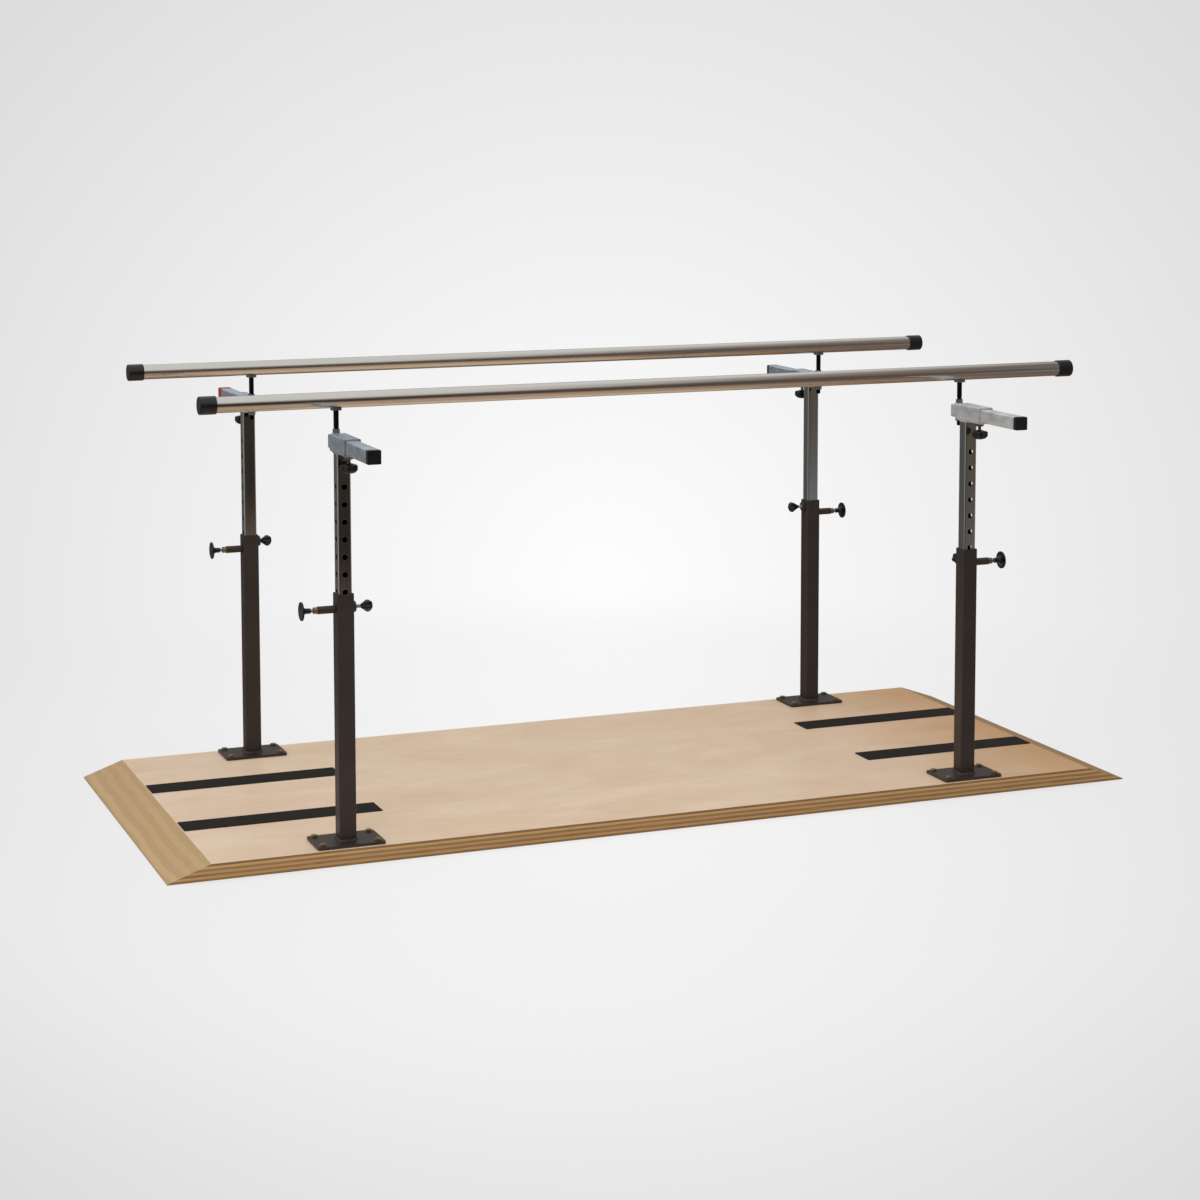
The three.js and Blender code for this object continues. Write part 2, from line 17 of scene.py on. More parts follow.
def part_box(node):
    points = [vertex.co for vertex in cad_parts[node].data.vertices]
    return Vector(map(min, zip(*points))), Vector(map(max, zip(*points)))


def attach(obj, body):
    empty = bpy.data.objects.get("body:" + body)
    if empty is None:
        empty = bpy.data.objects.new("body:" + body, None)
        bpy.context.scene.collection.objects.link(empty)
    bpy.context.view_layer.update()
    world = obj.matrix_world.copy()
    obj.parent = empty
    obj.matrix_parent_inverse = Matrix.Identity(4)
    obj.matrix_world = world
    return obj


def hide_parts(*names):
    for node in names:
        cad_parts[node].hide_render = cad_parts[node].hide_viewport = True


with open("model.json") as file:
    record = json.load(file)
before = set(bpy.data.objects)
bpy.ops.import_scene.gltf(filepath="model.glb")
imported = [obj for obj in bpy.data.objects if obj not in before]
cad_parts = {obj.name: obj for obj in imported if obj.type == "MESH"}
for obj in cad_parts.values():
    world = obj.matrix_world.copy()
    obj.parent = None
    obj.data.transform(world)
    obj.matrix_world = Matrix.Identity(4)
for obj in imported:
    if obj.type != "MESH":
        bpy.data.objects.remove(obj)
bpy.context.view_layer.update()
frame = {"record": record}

bl_info = {
    "name": "Walking Parallel Bars",
    "version": (1, 0, 0),
    "blender": (4, 5, 0),
    "location": "3D View > Sidebar > Parallel Bars",
    "description": "Makes height adjustable walking parallel bars on a plywood platform, piece by piece",
    "category": "Add Mesh",
}

MM = 0.001
SIDES = {"front": -1, "back": 1}
ENDS = {"left": -1, "right": 1}
RED_CAP_AT = "back_left"
LANE_SCREW_AT = "front_right"
CLEAR_ZINC_AT = "front_right"
BODY_OF = {node: body for body, nodes in frame["record"]["behaviour"]["bodies"].items() for node in nodes}


# Settings: the sizes and colours that a user would change

def linear(hex_value):
    """A colour written as an sRGB hex value, as the linear red, green, blue and alpha that a shader reads."""
    parts = [int(hex_value[i:i + 2], 16) / 255 for i in (1, 3, 5)]
    return tuple(c / 12.92 if c <= 0.04045 else ((c + 0.055) / 1.055) ** 2.4 for c in parts) + (1.0,)


def size(name, millimetres, description):
    return FloatProperty(
        name=name, description=description, default=millimetres * MM, unit="LENGTH", precision=4)


def share(name, default, description):
    return FloatProperty(
        name=name, description=description, default=default, min=0.0, max=1.0, subtype="FACTOR")


def count(name, default, description):
    return IntProperty(name=name, description=description, default=default, min=1)


def angle(name, degrees, description):
    return FloatProperty(name=name, description=description, default=math.radians(degrees), subtype="ANGLE")


def colour(name, default, description):
    return FloatVectorProperty(
        name=name, description=description, default=linear(default), size=4, min=0.0, max=1.0,
        subtype="COLOR")


class BoardSettings(bpy.types.PropertyGroup):
    """The platform and its grip strips"""
    ramp_run: size("Ramp run", 95, "Length of the bevelled ramp at each end of the board")
    nose: size("Nose", 2.5, "Height left at the very end of a ramp")
    edge: size("Eased edge", 0.9, "Radius that the board's sawn edges are sanded to")
    strip_corner: size("Strip corner", 3, "Corner radius of a grip strip")
    strip_edge: size("Strip edge", 0.35, "Rounding of a grip strip's upper edge")
    ply: size("Ply", 5.14, "Thickness of one veneer in the board, which has seven")
    grit: size("Grit", 1.1, "Spacing of the grains on a grip strip")


class TubeSettings(bpy.types.PropertyGroup):
    """The square tubes, the base plates and the height holes"""
    outer_wall: size("Outer wall", 3.4, "Wall of the outer tubes and of the sleeves")
    outer_corner: size("Outer corner", 4, "Corner radius of the outer tubes and of the sleeves")
    inner_wall: size("Inner wall", 2.5, "Wall of the posts and of the arms")
    inner_corner: size("Inner corner", 3.2, "Corner radius of the posts and of the arms")
    rim: size("Rim", 0.3, "Easing of a sawn tube end")
    hole: size("Height hole", 12.7, "Diameter of the holes of the height adjustment")
    pitch: size("Hole pitch", 38.1, "Distance between two height holes")
    holes_above: count("Holes above", 7, "Height holes above the plunger, on the face that the pin enters")
    holes_below: count("Holes below", 4, "Height holes below the plunger, on the face that the pin enters")
    spare_below: count("Side holes below", 1, "Holes below the plunger on the post's other drilled face")
    plate_corner: size("Plate corner", 6, "Corner radius of a base plate")
    plate_thickness: size("Plate thickness", 6.4, "Thickness of a base plate")
    plate_edge: size("Plate edge", 0.7, "Easing of a base plate's edges")
    bolt_edge: size("Bolt edge", 14, "Distance of a bolt from the two nearest edges of its plate")
    bolt_flats: size("Bolt flats", 13, "Width across the flats of a base plate bolt's head")
    bolt_head: size("Bolt head", 4.1, "Height of a base plate bolt's head")
    bolt_dish: size("Bolt dish", 0.4, "How deep the top of a bolt's head is dished")
    washer: size("Washer", 18.5, "Diameter of the washer under a base plate bolt")
    washer_thickness: size("Washer thickness", 1.2, "Thickness of the washer under a base plate bolt")
    washer_edge: size("Washer edge", 0.2, "Easing of that washer's edges")
    weld: size("Weld", 4.2, "Leg of the weld beads at the feet of the tubes")
    head_weld: size("Head weld", 2.94, "Leg of the weld beads at the heads of the posts")
    ripple: size("Weld ripple", 3.4, "Spacing of the ripples along a weld bead")


class PlungerSettings(bpy.types.PropertyGroup):
    """The spring plungers and their pull knobs"""
    housing: size("Housing", 17, "Diameter of the plunger's housing")
    housing_edge: size("Housing edge", 0.9, "Rounding of the housing's edges")
    bore: size("Bore", 13, "Diameter of the bore that the spring works in")
    end_wall: size("End wall", 2.4, "Wall that closes the bore round the rod")
    collar: size("Collar", 14.5, "Diameter of the brass collar")
    collar_length: size("Collar length", 9, "Length of the brass collar")
    collar_edge: size("Collar edge", 0.8, "Rounding of the brass collar's edges")
    pin: size("Pin", 10, "Diameter of the locking pin")
    pin_edge: size("Pin edge", 0.5, "Rounding of the edges of the pin and its flange")
    rod: size("Rod", 8, "Diameter of the rod between the pin and the knob")
    flange: size("Flange", 12.2, "Diameter of the flange that the spring bears on")
    flange_length: size("Flange length", 2.4, "Thickness of that flange")
    travel: size("Travel", 6, "How far the pin is drawn back")
    gap: size("Running gap", 0.3, "Gap kept between pieces that slide")
    wire: size("Spring wire", 1.4, "Diameter of the spring's wire")
    coil: size("Spring coil", 10.4, "Diameter of the spring at the middle of its wire")
    coils: count("Spring coils", 4, "Turns of the spring")
    neck: size("Knob neck", 12, "Diameter of the pull knob's neck")
    neck_length: size("Neck length", 9, "Straight length of the pull knob's neck")
    disc: size("Knob disc", 41, "Diameter of the pull knob")
    flare: size("Knob flare", 9, "Length over which the pull knob widens")
    knob_rim: size("Knob rim", 3, "Thickness of the pull knob's edge")
    knob_edge: size("Knob edge", 0.7, "Rounding of the pull knob's sharp edges")
    crown: size("Knob crown", 2.4, "Height of the pull knob's domed face")


class ScrewSettings(bpy.types.PropertyGroup):
    """The tension screws and the width screws with their knobs"""
    screw: size("Screw", 8, "Diameter of the screws")
    thread: size("Thread pitch", 1.25, "Pitch of the screws' threads")
    lobes: count("Lobes", 5, "Lobes round a knob")
    knob_edge: size("Knob edge", 0.5, "Rounding of a lobed knob's sharp edges")
    boss: size("Boss", 24, "Diameter of the boss on the outer tube")
    boss_length: size("Boss length", 7, "How far the boss stands off the tube")
    boss_edge: size("Boss edge", 0.8, "Rounding of the boss's edges")
    front_below_top: size("Front below top", 31, "Distance of a front tension screw below its tube's top")
    back_below_top: size("Back below top", 17, "Distance of a back tension screw below its tube's top")
    tension_across: size("Tension knob", 27.5, "Width across the tension knob's lobes")
    tension_hub: size("Tension hub", 9, "Diameter of the tension knob at its screw")
    tension_cone: size("Tension cone", 13, "Length over which the tension knob widens")
    tension_grip: size("Tension grip", 8, "Length of the tension knob's lobes")
    tension_crown: size("Tension crown", 6, "Height of the tension knob's crown")
    tension_depth: share("Tension depth", 0.2, "How deep the tension knob is drawn in between its lobes")
    width_across: size("Width knob", 39, "Width across the width knob's lobes")
    width_hub: size("Width hub", 14, "Diameter of the width knob at its screw")
    width_cone: size("Width cone", 3, "Length over which the width knob widens")
    width_grip: size("Width grip", 13, "Length of the width knob's lobes")
    width_crown: size("Width crown", 6, "Height of the width knob's crown")
    width_depth: share("Width depth", 0.16, "How deep the width knob is drawn in between its lobes")
    width_from_post: size("Width screw place", 54, "Distance of the width screw from the post's axis")
    nut_flats: size("Weld nut flats", 17, "Width across the flats of the nut under the sleeve")
    nut_height: size("Weld nut height", 8, "Height of the nut under the sleeve")


class RailSettings(bpy.types.PropertyGroup):
    """The rails with their studs and caps, and the arms' caps"""
    wall: size("Rail wall", 2, "Wall of the rails")
    rim: size("Rail rim", 0.4, "Easing of a rail's sawn ends")
    cap_wall: size("Cap end wall", 3, "Thickness of a rail cap's closed end")
    cap_bevel: size("Cap rounding", 2.5, "Rounding of a rail cap's closed end")
    cap_lip: size("Cap lip", 0.6, "Rounding of a rail cap's mouth")
    arm_cap_corner: size("Arm cap corner", 3, "Corner radius of an arm cap")
    arm_cap_edge: size("Arm cap edge", 1.6, "Rounding of an arm cap's outer edge")
    insert_corner: size("Insert corner", 0.6, "Corner radius of the arm cap's insert in its tube")
    stud: size("Stud", 12, "Diameter of the rail studs")
    stud_thread: size("Stud thread", 1.75, "Pitch of the rail studs' thread")
    stud_gap: size("Stud gap", 0.2, "Gap between a stud's plain end and its rail")
    saddle_length: size("Saddle length", 22, "Length of a saddle along the rail")
    saddle_width: size("Saddle width", 20, "Width of a saddle across the rail")
    saddle_thickness: size("Saddle thickness", 4.5, "Thickness of a saddle at its middle")
    saddle_corner: size("Saddle corner", 4, "Corner radius of a saddle")
    flare_top: size("Flare nut top", 14, "Diameter of the flange nut's top")
    flare_foot: size("Flare nut foot", 20, "Diameter of the flange nut's foot on the arm")
    flare_rim: size("Flare nut rim", 1.4, "Thickness of the flange nut's foot at its rim")
    flare_height: size("Flare nut height", 12, "Height of the flange nut on the arm")
    edge: size("Edge", 0.5, "Easing of the edges of the saddles and flange nuts")
    nut_flats: size("Nut flats", 16, "Width across the flats of the nut under the arm")
    nut_height: size("Nut height", 9, "Height of the nut under the arm")


class FinishSettings(bpy.types.PropertyGroup):
    """The colours of the finishes"""
    birch: colour("Birch", "#dfc8ae", "Lacquered face veneer of the board")
    birch_cloud: colour("Birch cloud", "#d3b598", "Softly darker clouds of the face veneer")
    birch_right_end: colour("Birch, right-hand end", "#ba8e5e", "Redder towards the board's right-hand end")
    ramp_light: colour("Ramp light", "#b99c75", "Plies cut along the grain, where the ramp shows them")
    ramp_dark: colour("Ramp dark", "#ac9069", "Plies cut across the grain, where the ramp shows them")
    ply_light: colour("Ply light", "#b99163", "Plies cut along the grain, on the board's edges")
    ply_dark: colour("Ply dark", "#7f613f", "Plies cut across the grain, on the board's edges")
    grip_deep: colour("Grip, deep", "#171412", "Gaps between the grains of the grip strips")
    grip: colour("Grip", "#1e1a17", "Mineral grit of the grip strips")
    # Painted glint: single grains drawn lighter, as if they catch the light
    grip_painted_glint: colour("Grip, spark", "#4a4540", "Single grains that catch the light")
    powder: colour("Powder coat", "#2e2622", "Warm black powder coat of the uprights")
    phenolic: colour("Black knobs", "#0d0d0f", "Moulded phenolic of the knobs")
    cap_black: colour("Black caps", "#111214", "Moulded polyethylene of the caps")
    cap_red: colour("Red cap", "#a83c38", "Moulded polyethylene of the one red cap")
    zinc: colour("Blue zinc", "#d0deec", "Blue passivated zinc plate of three of the arms and sleeves")
    clear_zinc: colour("Clear zinc", "#e3e6e8", "Clear passivated zinc of the front right arm and sleeve")
    chrome: colour("Chrome plate", "#c9c8c5", "Chrome plate of the posts")
    rail: colour("Polished rail", "#d4d0ca", "Polished stainless steel of the rails")
    brass: colour("Brass", "#a08d5e", "Turned brass of the plunger collars")
    yellow_zinc: colour("Yellow zinc", "#a1987a", "Yellow passivated zinc of the bolts and weld nuts")
    yellow_cast: colour("Yellow zinc's cast", "#9b8468", "Pinker patches of that zinc")
    oxide: colour("Black oxide", "#26262a", "Black oxide of the stud rods")
    steel: colour("Bright steel", "#9c9ea0", "Turned steel of the pins, springs, saddles and nuts")


class StudioSettings(bpy.types.PropertyGroup):
    """The camera, the lamps and the backdrop"""
    lens: FloatProperty(name="Lens", description="Focal length, in millimetres", default=77.85, min=1.0)
    sensor: FloatProperty(name="Sensor", description="Sensor width, in millimetres", default=36.0, min=1.0)
    shift: FloatProperty(
        name="Rise", description="Vertical shift of the lens, as a share of the frame's width", default=-0.2)
    camera_place: FloatVectorProperty(
        name="Camera place", description="Where the camera stands", default=(-2.283, -5.765, 1.621),
        size=3, subtype="TRANSLATION", unit="LENGTH")
    pitch: angle("Pitch", 5.49, "How far the camera looks down")
    yaw: angle("Yaw", 21.57, "How far the camera is turned to the right")
    roll: angle("Roll", -0.08, "How far the camera leans")
    floor_solid: size("Floor", 1500, "Radius within which the pale floor is solid")
    floor_radius: size("Floor edge", 2600, "Radius at which the pale floor has faded out")
    floor: colour("Floor colour", "#ececec", "Pale floor under the object")
    floor_share: share("Floor share", 0.7, "How much the camera sees the floor take on the backdrop's shade")
    backdrop: colour("Backdrop", "#fefefe", "Backdrop behind the object")
    backdrop_edge: colour("Backdrop edge", "#dcdcdc", "Backdrop where its light falls off")
    backdrop_far: colour("Backdrop far", "#f0f0f0", "Backdrop well away from the object")
    backdrop_reach: angle("Backdrop reach", 18, "Angle from the middle of the backdrop to its darker edge")
    # The room: glowing cards of painted reflections, which only polished metal shows
    room_radius: size("Room", 12000, "Radius of the room that polished metal shows")
    # Painted pool of light on the reflected floor near the object
    room_painted_light: colour("Room floor, near", "#c6af9b", "Floor close to the object, as metal shows it")
    room_brown: colour("Room floor, further", "#7b655b", "Floor away from the object, as metal shows it")
    # Painted darker reflection beyond the right-hand end
    room_painted_dim: colour("Room, right", "#7f736c", "Room beyond the right-hand end, as metal shows it")
    room_upper: colour("Room, upper", "#eeeeee", "Upper part of the room, as metal shows it")
    sky: FloatProperty(name="Sky", description="Strength of the light from all round", default=0.5, min=0.0)
    key: FloatProperty(name="Key", description="Power of the overhead lamp, in watts", default=167.0, min=0.0)
    fill: FloatProperty(name="Fill", description="Power of the front lamp, in watts", default=60.0, min=0.0)


class BarsSettings(bpy.types.PropertyGroup):
    """All the settings of the parallel bars"""
    board: PointerProperty(type=BoardSettings, name="Board", description="The platform and its grip strips")
    tube: PointerProperty(type=TubeSettings, name="Tubes", description="The square tubes and base plates")
    plunger: PointerProperty(type=PlungerSettings, name="Plungers", description="The spring plungers")
    screw: PointerProperty(type=ScrewSettings, name="Screws", description="The screws with their knobs")
    rail: PointerProperty(type=RailSettings, name="Rails", description="The rails, studs and caps")
    finish: PointerProperty(type=FinishSettings, name="Finishes", description="The colours of the finishes")
    studio: PointerProperty(type=StudioSettings, name="Studio", description="The camera, lamps and backdrop")


SETTINGS = [
    BoardSettings, TubeSettings, PlungerSettings, ScrewSettings, RailSettings, FinishSettings, StudioSettings,
    BarsSettings]


def settings():
    return bpy.context.scene.parallel_bars


# Shapes: each starts from a bmesh operator, along Z, and is put in its place last

def bevelled(shape, edges, radius, segments):
    bmesh.ops.bevel(
        shape, geom=edges, offset=radius, segments=segments, profile=0.5, affect="EDGES",
        clamp_overlap=True, material=-1)
    return shape


def eased(shape, radius, segments=2, from_angle=math.radians(35)):
    """Rounds every edge that is sharper than from_angle."""
    sharp = [edge for edge in shape.edges if edge.is_manifold and edge.calc_face_angle() > from_angle]
    return bevelled(shape, sharp, radius, segments)


def rounded_block(width, depth, corner, start, end):
    """A block with its four upright edges rounded."""
    shape = bmesh.new()
    bmesh.ops.create_cube(shape, size=1.0)
    bmesh.ops.scale(shape, vec=(width, depth, end - start), verts=shape.verts)
    bmesh.ops.translate(shape, vec=(0, 0, (start + end) / 2), verts=shape.verts)
    upright = [edge for edge in shape.edges if edge.verts[0].co.xy == edge.verts[1].co.xy]
    return bevelled(shape, upright, corner, 6)


def square_tube(side, wall, corner, start, end):
    """A square tube with rounded corners, open at both ends."""
    shape = rounded_block(side, side, corner, start, end)
    ends = [face for face in shape.faces if abs(face.normal.z) > 0.99]
    bmesh.ops.inset_individual(shape, faces=ends, thickness=wall, use_even_offset=True)
    rims = {edge for face in ends for edge in face.edges}
    bmesh.ops.delete(shape, geom=ends, context="FACES_ONLY")
    bmesh.ops.bridge_loops(shape, edges=list(rims))
    bmesh.ops.recalc_face_normals(shape, faces=shape.faces)
    return shape


def turned(profile, steps=64, closed=False):
    """A profile of (radius, height) points spun about Z. It starts and ends on the axis, or is closed."""
    shape = bmesh.new()
    points = [shape.verts.new((radius, 0, height)) for radius, height in profile]
    pairs = list(zip(points, points[1:])) + ([(points[-1], points[0])] if closed else [])
    edges = [shape.edges.new(pair) for pair in pairs]
    bmesh.ops.spin(
        shape, geom=points + edges, cent=(0, 0, 0), axis=(0, 0, 1), angle=math.tau, steps=steps,
        use_merge=True)
    bmesh.ops.remove_doubles(shape, verts=shape.verts, dist=0.001 * MM)
    bmesh.ops.recalc_face_normals(shape, faces=shape.faces)
    return shape


def quarter_turn(steps):
    """The angles along a quarter of a circle, both ends included."""
    return [math.pi / 2 * step / steps for step in range(steps + 1)]


def rod(diameter, start, end, steps=32):
    radius = diameter / 2
    return turned([(0, start), (radius, start), (radius, end), (0, end)], steps)


def ring(bore, diameter, start, end, steps=48):
    inner, outer = bore / 2, diameter / 2
    return turned([(inner, start), (outer, start), (outer, end), (inner, end)], steps, closed=True)


def nut(flats, bore, start, end):
    """A hexagon nut, its corners chamfered at 30 degrees on both faces, with an eased bore."""
    face, inner = flats * 0.475, bore / 2
    mouth = inner + 0.05 * flats
    shape = turned(
        [(inner, start + mouth - inner), (mouth, start), (face, start), (flats / 2, start), (flats / 2, end),
         (face, end), (mouth, end), (inner, end - mouth + inner)], 48, closed=True)
    for vert in shape.verts:
        radius = math.hypot(vert.co.x, vert.co.y)
        if radius > face * 1.01:
            from_flat = (math.atan2(vert.co.y, vert.co.x) + math.pi / 6) % (math.pi / 3) - math.pi / 6
            reach = flats / 2 / math.cos(from_flat)
            drop = (reach - face) * math.tan(math.radians(30))
            vert.co.x *= reach / radius
            vert.co.y *= reach / radius
            vert.co.z += drop if vert.co.z < (start + end) / 2 else -drop
    return shape


def threaded(diameter, pitch, start, end):
    """A rod with a helical thread: a vee swept round the core."""
    steps = 20
    depth = pitch * 0.6
    core = eased(rod(diameter - 2 * depth, start, end, steps), pitch / 3, 1)
    turns = (end - start) / pitch - 1
    around = max(1, round(turns * steps))
    vee = bmesh.new()
    crest, root = diameter / 2, diameter / 2 - depth - pitch * 0.05
    points = [
        vee.verts.new((radius, 0, start + pitch / 2 + pitch * rise))
        for radius, rise in ((root, -0.48), (crest, -0.06), (crest, 0.06), (root, 0.48))]
    vee.faces.new(points)
    bmesh.ops.spin(
        vee, geom=list(vee.faces) + list(vee.edges) + points, cent=(0, 0, 0), axis=(0, 0, 1),
        angle=math.tau * turns, steps=around, dvec=(0, 0, pitch * turns / around))
    bmesh.ops.recalc_face_normals(vee, faces=vee.faces)
    return gathered(core, vee)


def coiled(wire, coil, turns, start, end):
    """A helical spring: a round wire swept along Z."""
    shape = bmesh.new()
    bmesh.ops.create_circle(shape, cap_ends=True, segments=10, radius=wire / 2)
    bmesh.ops.rotate(shape, cent=(0, 0, 0), matrix=Matrix.Rotation(math.pi / 2, 3, "X"), verts=shape.verts)
    bmesh.ops.translate(shape, vec=(coil / 2, 0, start + wire / 2), verts=shape.verts)
    around = turns * 24
    bmesh.ops.spin(
        shape, geom=list(shape.faces) + list(shape.edges) + list(shape.verts), cent=(0, 0, 0),
        axis=(0, 0, 1), angle=math.tau * turns, steps=around, dvec=(0, 0, (end - start - wire) / around))
    bmesh.ops.recalc_face_normals(shape, faces=shape.faces)
    return shape


def weld_bead(side, corner, leg, ripple):
    """A rippled fillet of weld round the foot of a square tube, at height 0 and rising along Z."""
    section = [(-0.3, 0), (1, 0), (0.74, 0.44), (0.44, 0.74), (0, 1), (-0.3, 1)]
    shape = turned([(1 + out, rise) for out, rise in section], round(16 * side / ripple), closed=True)
    for vert in shape.verts:
        turn = math.atan2(vert.co.y, vert.co.x)
        out = math.hypot(vert.co.x, vert.co.y) - 1
        way = Vector((math.cos(turn), math.sin(turn)))
        along, across = abs(way.x), abs(way.y)
        swollen = leg * (1 + 0.09 * math.cos(turn * 4 * side / ripple))
        # A bead leaves a flat side squarely, and swings to the diagonal round a corner
        diagonal = Vector((math.copysign(1.0, way.x), math.copysign(1.0, way.y)))
        square = Vector((diagonal.x, 0)) if along >= across else Vector((0, diagonal.y))
        near = 1 - min(1.0, abs(along - across) / 0.35)
        normal = (square * (1 - near) + diagonal.normalized() * near).normalized()
        place = way * (side / 2 - corner) / max(along, across) + normal * (corner + out * swollen)
        vert.co = (place.x, place.y, vert.co.z * swollen)
    bmesh.ops.recalc_face_normals(shape, faces=shape.faces)
    return shape


def hand_knob(hub, across, cone, grip, crown, depth_share):
    """A lobed hand knob: it widens from the screw, stands straight along its lobes and ends in a crown."""
    sizes = settings().screw
    radius, top = across / 2, cone + grip
    soft = grip * 0.22
    dome = [
        ((radius - soft) * math.cos(turn), top + crown * math.sin(turn))
        for turn in (0.25, 0.5, 0.8, 1.1, 1.35)]
    shape = turned([
        (0, 0), (hub / 2, 0), (hub / 2, 0.08 * cone), (radius * (1 - depth_share * 0.5), cone * 0.94),
        (radius - soft * 0.3, cone + soft * 0.2), (radius, cone + soft), (radius, top - soft),
        (radius - soft * 0.3, top - soft * 0.3), (radius - soft, top), *dome, (0, top + crown)],
        sizes.lobes * 24)
    # Between its lobes the knob is drawn in, from nothing at the screw to the full depth past the cone
    for vert in shape.verts:
        grown = min(1.0, max(0.0, vert.co.z / cone))
        turn = math.atan2(vert.co.y, vert.co.x)
        keep = 1 - depth_share * grown * (1 - math.cos(sizes.lobes * turn)) / 2
        vert.co.x *= keep
        vert.co.y *= keep
    return eased(shape, sizes.knob_edge, from_angle=math.radians(40))


def placed(shape, matrix):
    bmesh.ops.transform(shape, matrix=matrix, verts=shape.verts)
    return shape


def as_mesh(name, shape):
    mesh = bpy.data.meshes.new(name)
    shape.to_mesh(mesh)
    shape.free()
    return mesh


def gathered(*shapes):
    """Several shapes as one, each still a closed shell of its own."""
    whole = bmesh.new()
    for shape in shapes:
        part = as_mesh("part", shape)
        whole.from_mesh(part)
        bpy.data.meshes.remove(part)
    return whole


def shown(name, mesh):
    """A mesh as an object of the scene."""
    made = bpy.data.objects.new(name, mesh)
    bpy.context.scene.collection.objects.link(made)
    return made


def bored(shape, tool):
    """The shape with the tool's space cut out of it."""
    blank, cutter = shown("blank", as_mesh("blank", shape)), shown("tool", as_mesh("tool", tool))
    boolean = blank.modifiers.new("Bore", "BOOLEAN")
    boolean.operation, boolean.solver, boolean.object = "DIFFERENCE", "EXACT", cutter
    result = bpy.data.meshes.new_from_object(blank.evaluated_get(bpy.context.evaluated_depsgraph_get()))
    cut = bmesh.new()
    cut.from_mesh(result)
    for mesh in (blank.data, cutter.data, result):
        bpy.data.meshes.remove(mesh)
    return cut


ALONG_X = Matrix.Rotation(math.pi / 2, 4, "Y")
ALONG_Y = Matrix.Rotation(-math.pi / 2, 4, "X")
UPSIDE_DOWN = Matrix.Rotation(math.pi, 4, "X")


def up(height):
    return Matrix.Translation((0, 0, height))


def facing(sign):
    """Turns what is made towards +X or +Y to the side that a sign gives."""
    return Matrix.Rotation(0 if sign > 0 else math.pi, 4, "Z")


def axis_of(node):
    """Where the upright axis of a node's box stands on the floor."""
    low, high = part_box(node)
    return Matrix.Translation(((low.x + high.x) / 2, (low.y + high.y) / 2, 0))


def make_piece(name, shape, materials, node, stands_for=True):
    """Makes a shape a piece of the scene that rides with a node's body, and may stand for that node."""
    mesh = as_mesh(name, shape)
    for material in materials:
        mesh.materials.append(material)
    mesh.shade_smooth()
    mesh.set_sharp_from_angle(angle=math.radians(30))
    piece = shown(name, mesh)
    weighted = piece.modifiers.new("Flat faces keep their normals", "WEIGHTED_NORMAL")
    weighted.keep_sharp = True
    weighted.weight = 90
    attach(piece, BODY_OF[node])
    if stands_for:
        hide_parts(node)


class Upright:
    """One of the four uprights: its axis, and the frame places that its pieces are made from."""

    def __init__(self, side, end):
        self.name = f"{side}_{end}"
        self.along, self.across = ENDS[end], SIDES[side]
        self.here = axis_of(self.node("post"))
        self.axis = self.here.translation
        self.outboard_along = self.here @ facing(self.along)
        self.outboard_across = self.here @ facing(self.across)

    def node(self, kind):
        return f"{self.name}_{kind}"

    def heights(self, kind):
        return [corner.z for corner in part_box(self.node(kind))]

    def middle(self, kind):
        return sum(self.heights(kind)) / 2

    def side_of(self, kind):
        """The side of a square tube that stands upright. A boss widens its box one way only."""
        low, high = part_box(self.node(kind))
        return min(high.x - low.x, high.y - low.y)

    def reach_along(self, kind):
        """How near and how far a node reaches from the post's axis, outboard along the rails."""
        return sorted(self.along * (corner.x - self.axis.x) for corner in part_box(self.node(kind)))

    def reach_across(self, kind):
        """How near and how far a node reaches from the post's axis, outboard across the lane."""
        return sorted(self.across * (corner.y - self.axis.y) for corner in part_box(self.node(kind)))

    def make(self, name, shape, place, material, kind, stands_for=True):
        """Puts a shape in its place as a piece of this upright, which goes with one of its nodes."""
        make_piece(self.node(name), placed(shape, place), [material], self.node(kind), stands_for)


def uprights():
    return [Upright(side, end) for side in SIDES for end in ENDS]


# Finishes: each is a material, named for what the real one is

def set_sockets(node, sockets):
    """Sets or links a node's sockets. A value that is a node stands for the first output it has in use."""
    for socket, value in sockets.items():
        if isinstance(value, bpy.types.Node):
            value = next(output for output in value.outputs if output.enabled)
        if isinstance(value, bpy.types.NodeSocket):
            node.id_data.links.new(value, node.inputs[socket])
        else:
            node.inputs[socket].default_value = value


def add_node(tree, kind, sockets=None, stops=(), **values):
    """Adds a shader node, with its settings, its colour stops and its sockets."""
    made = tree.nodes.new("ShaderNode" + kind)
    for name, value in values.items():
        setattr(made, name, value)
    for place, (position, tone) in enumerate(stops):
        stop = made.color_ramp.elements[place] if place < 2 else made.color_ramp.elements.new(position)
        stop.position = position
        stop.color = tone
    set_sockets(made, sockets or {})
    return made


def waves(*millimetres):
    """A pattern's scale, in waves to the metre, from the real sizes of its waves along X, Y and Z."""
    scales = [1 / (length * MM) for length in millimetres]
    return scales if len(scales) > 1 else scales[0]


def darker(tone, keep):
    return [c * keep for c in tone[:3]] + [1.0]


def new_finish(name, slot, **sockets):
    """A material, with its node tree, its shader and its Object coordinates. The slot it is given is not
    used.
    """
    material = bpy.data.materials.new(name)
    material.use_nodes = True
    tree = material.node_tree
    shader = tree.nodes["Principled BSDF"]
    set_sockets(shader, {socket.replace("_", " "): value for socket, value in sockets.items()})
    return material, tree, shader, add_node(tree, "TexCoord").outputs["Object"]


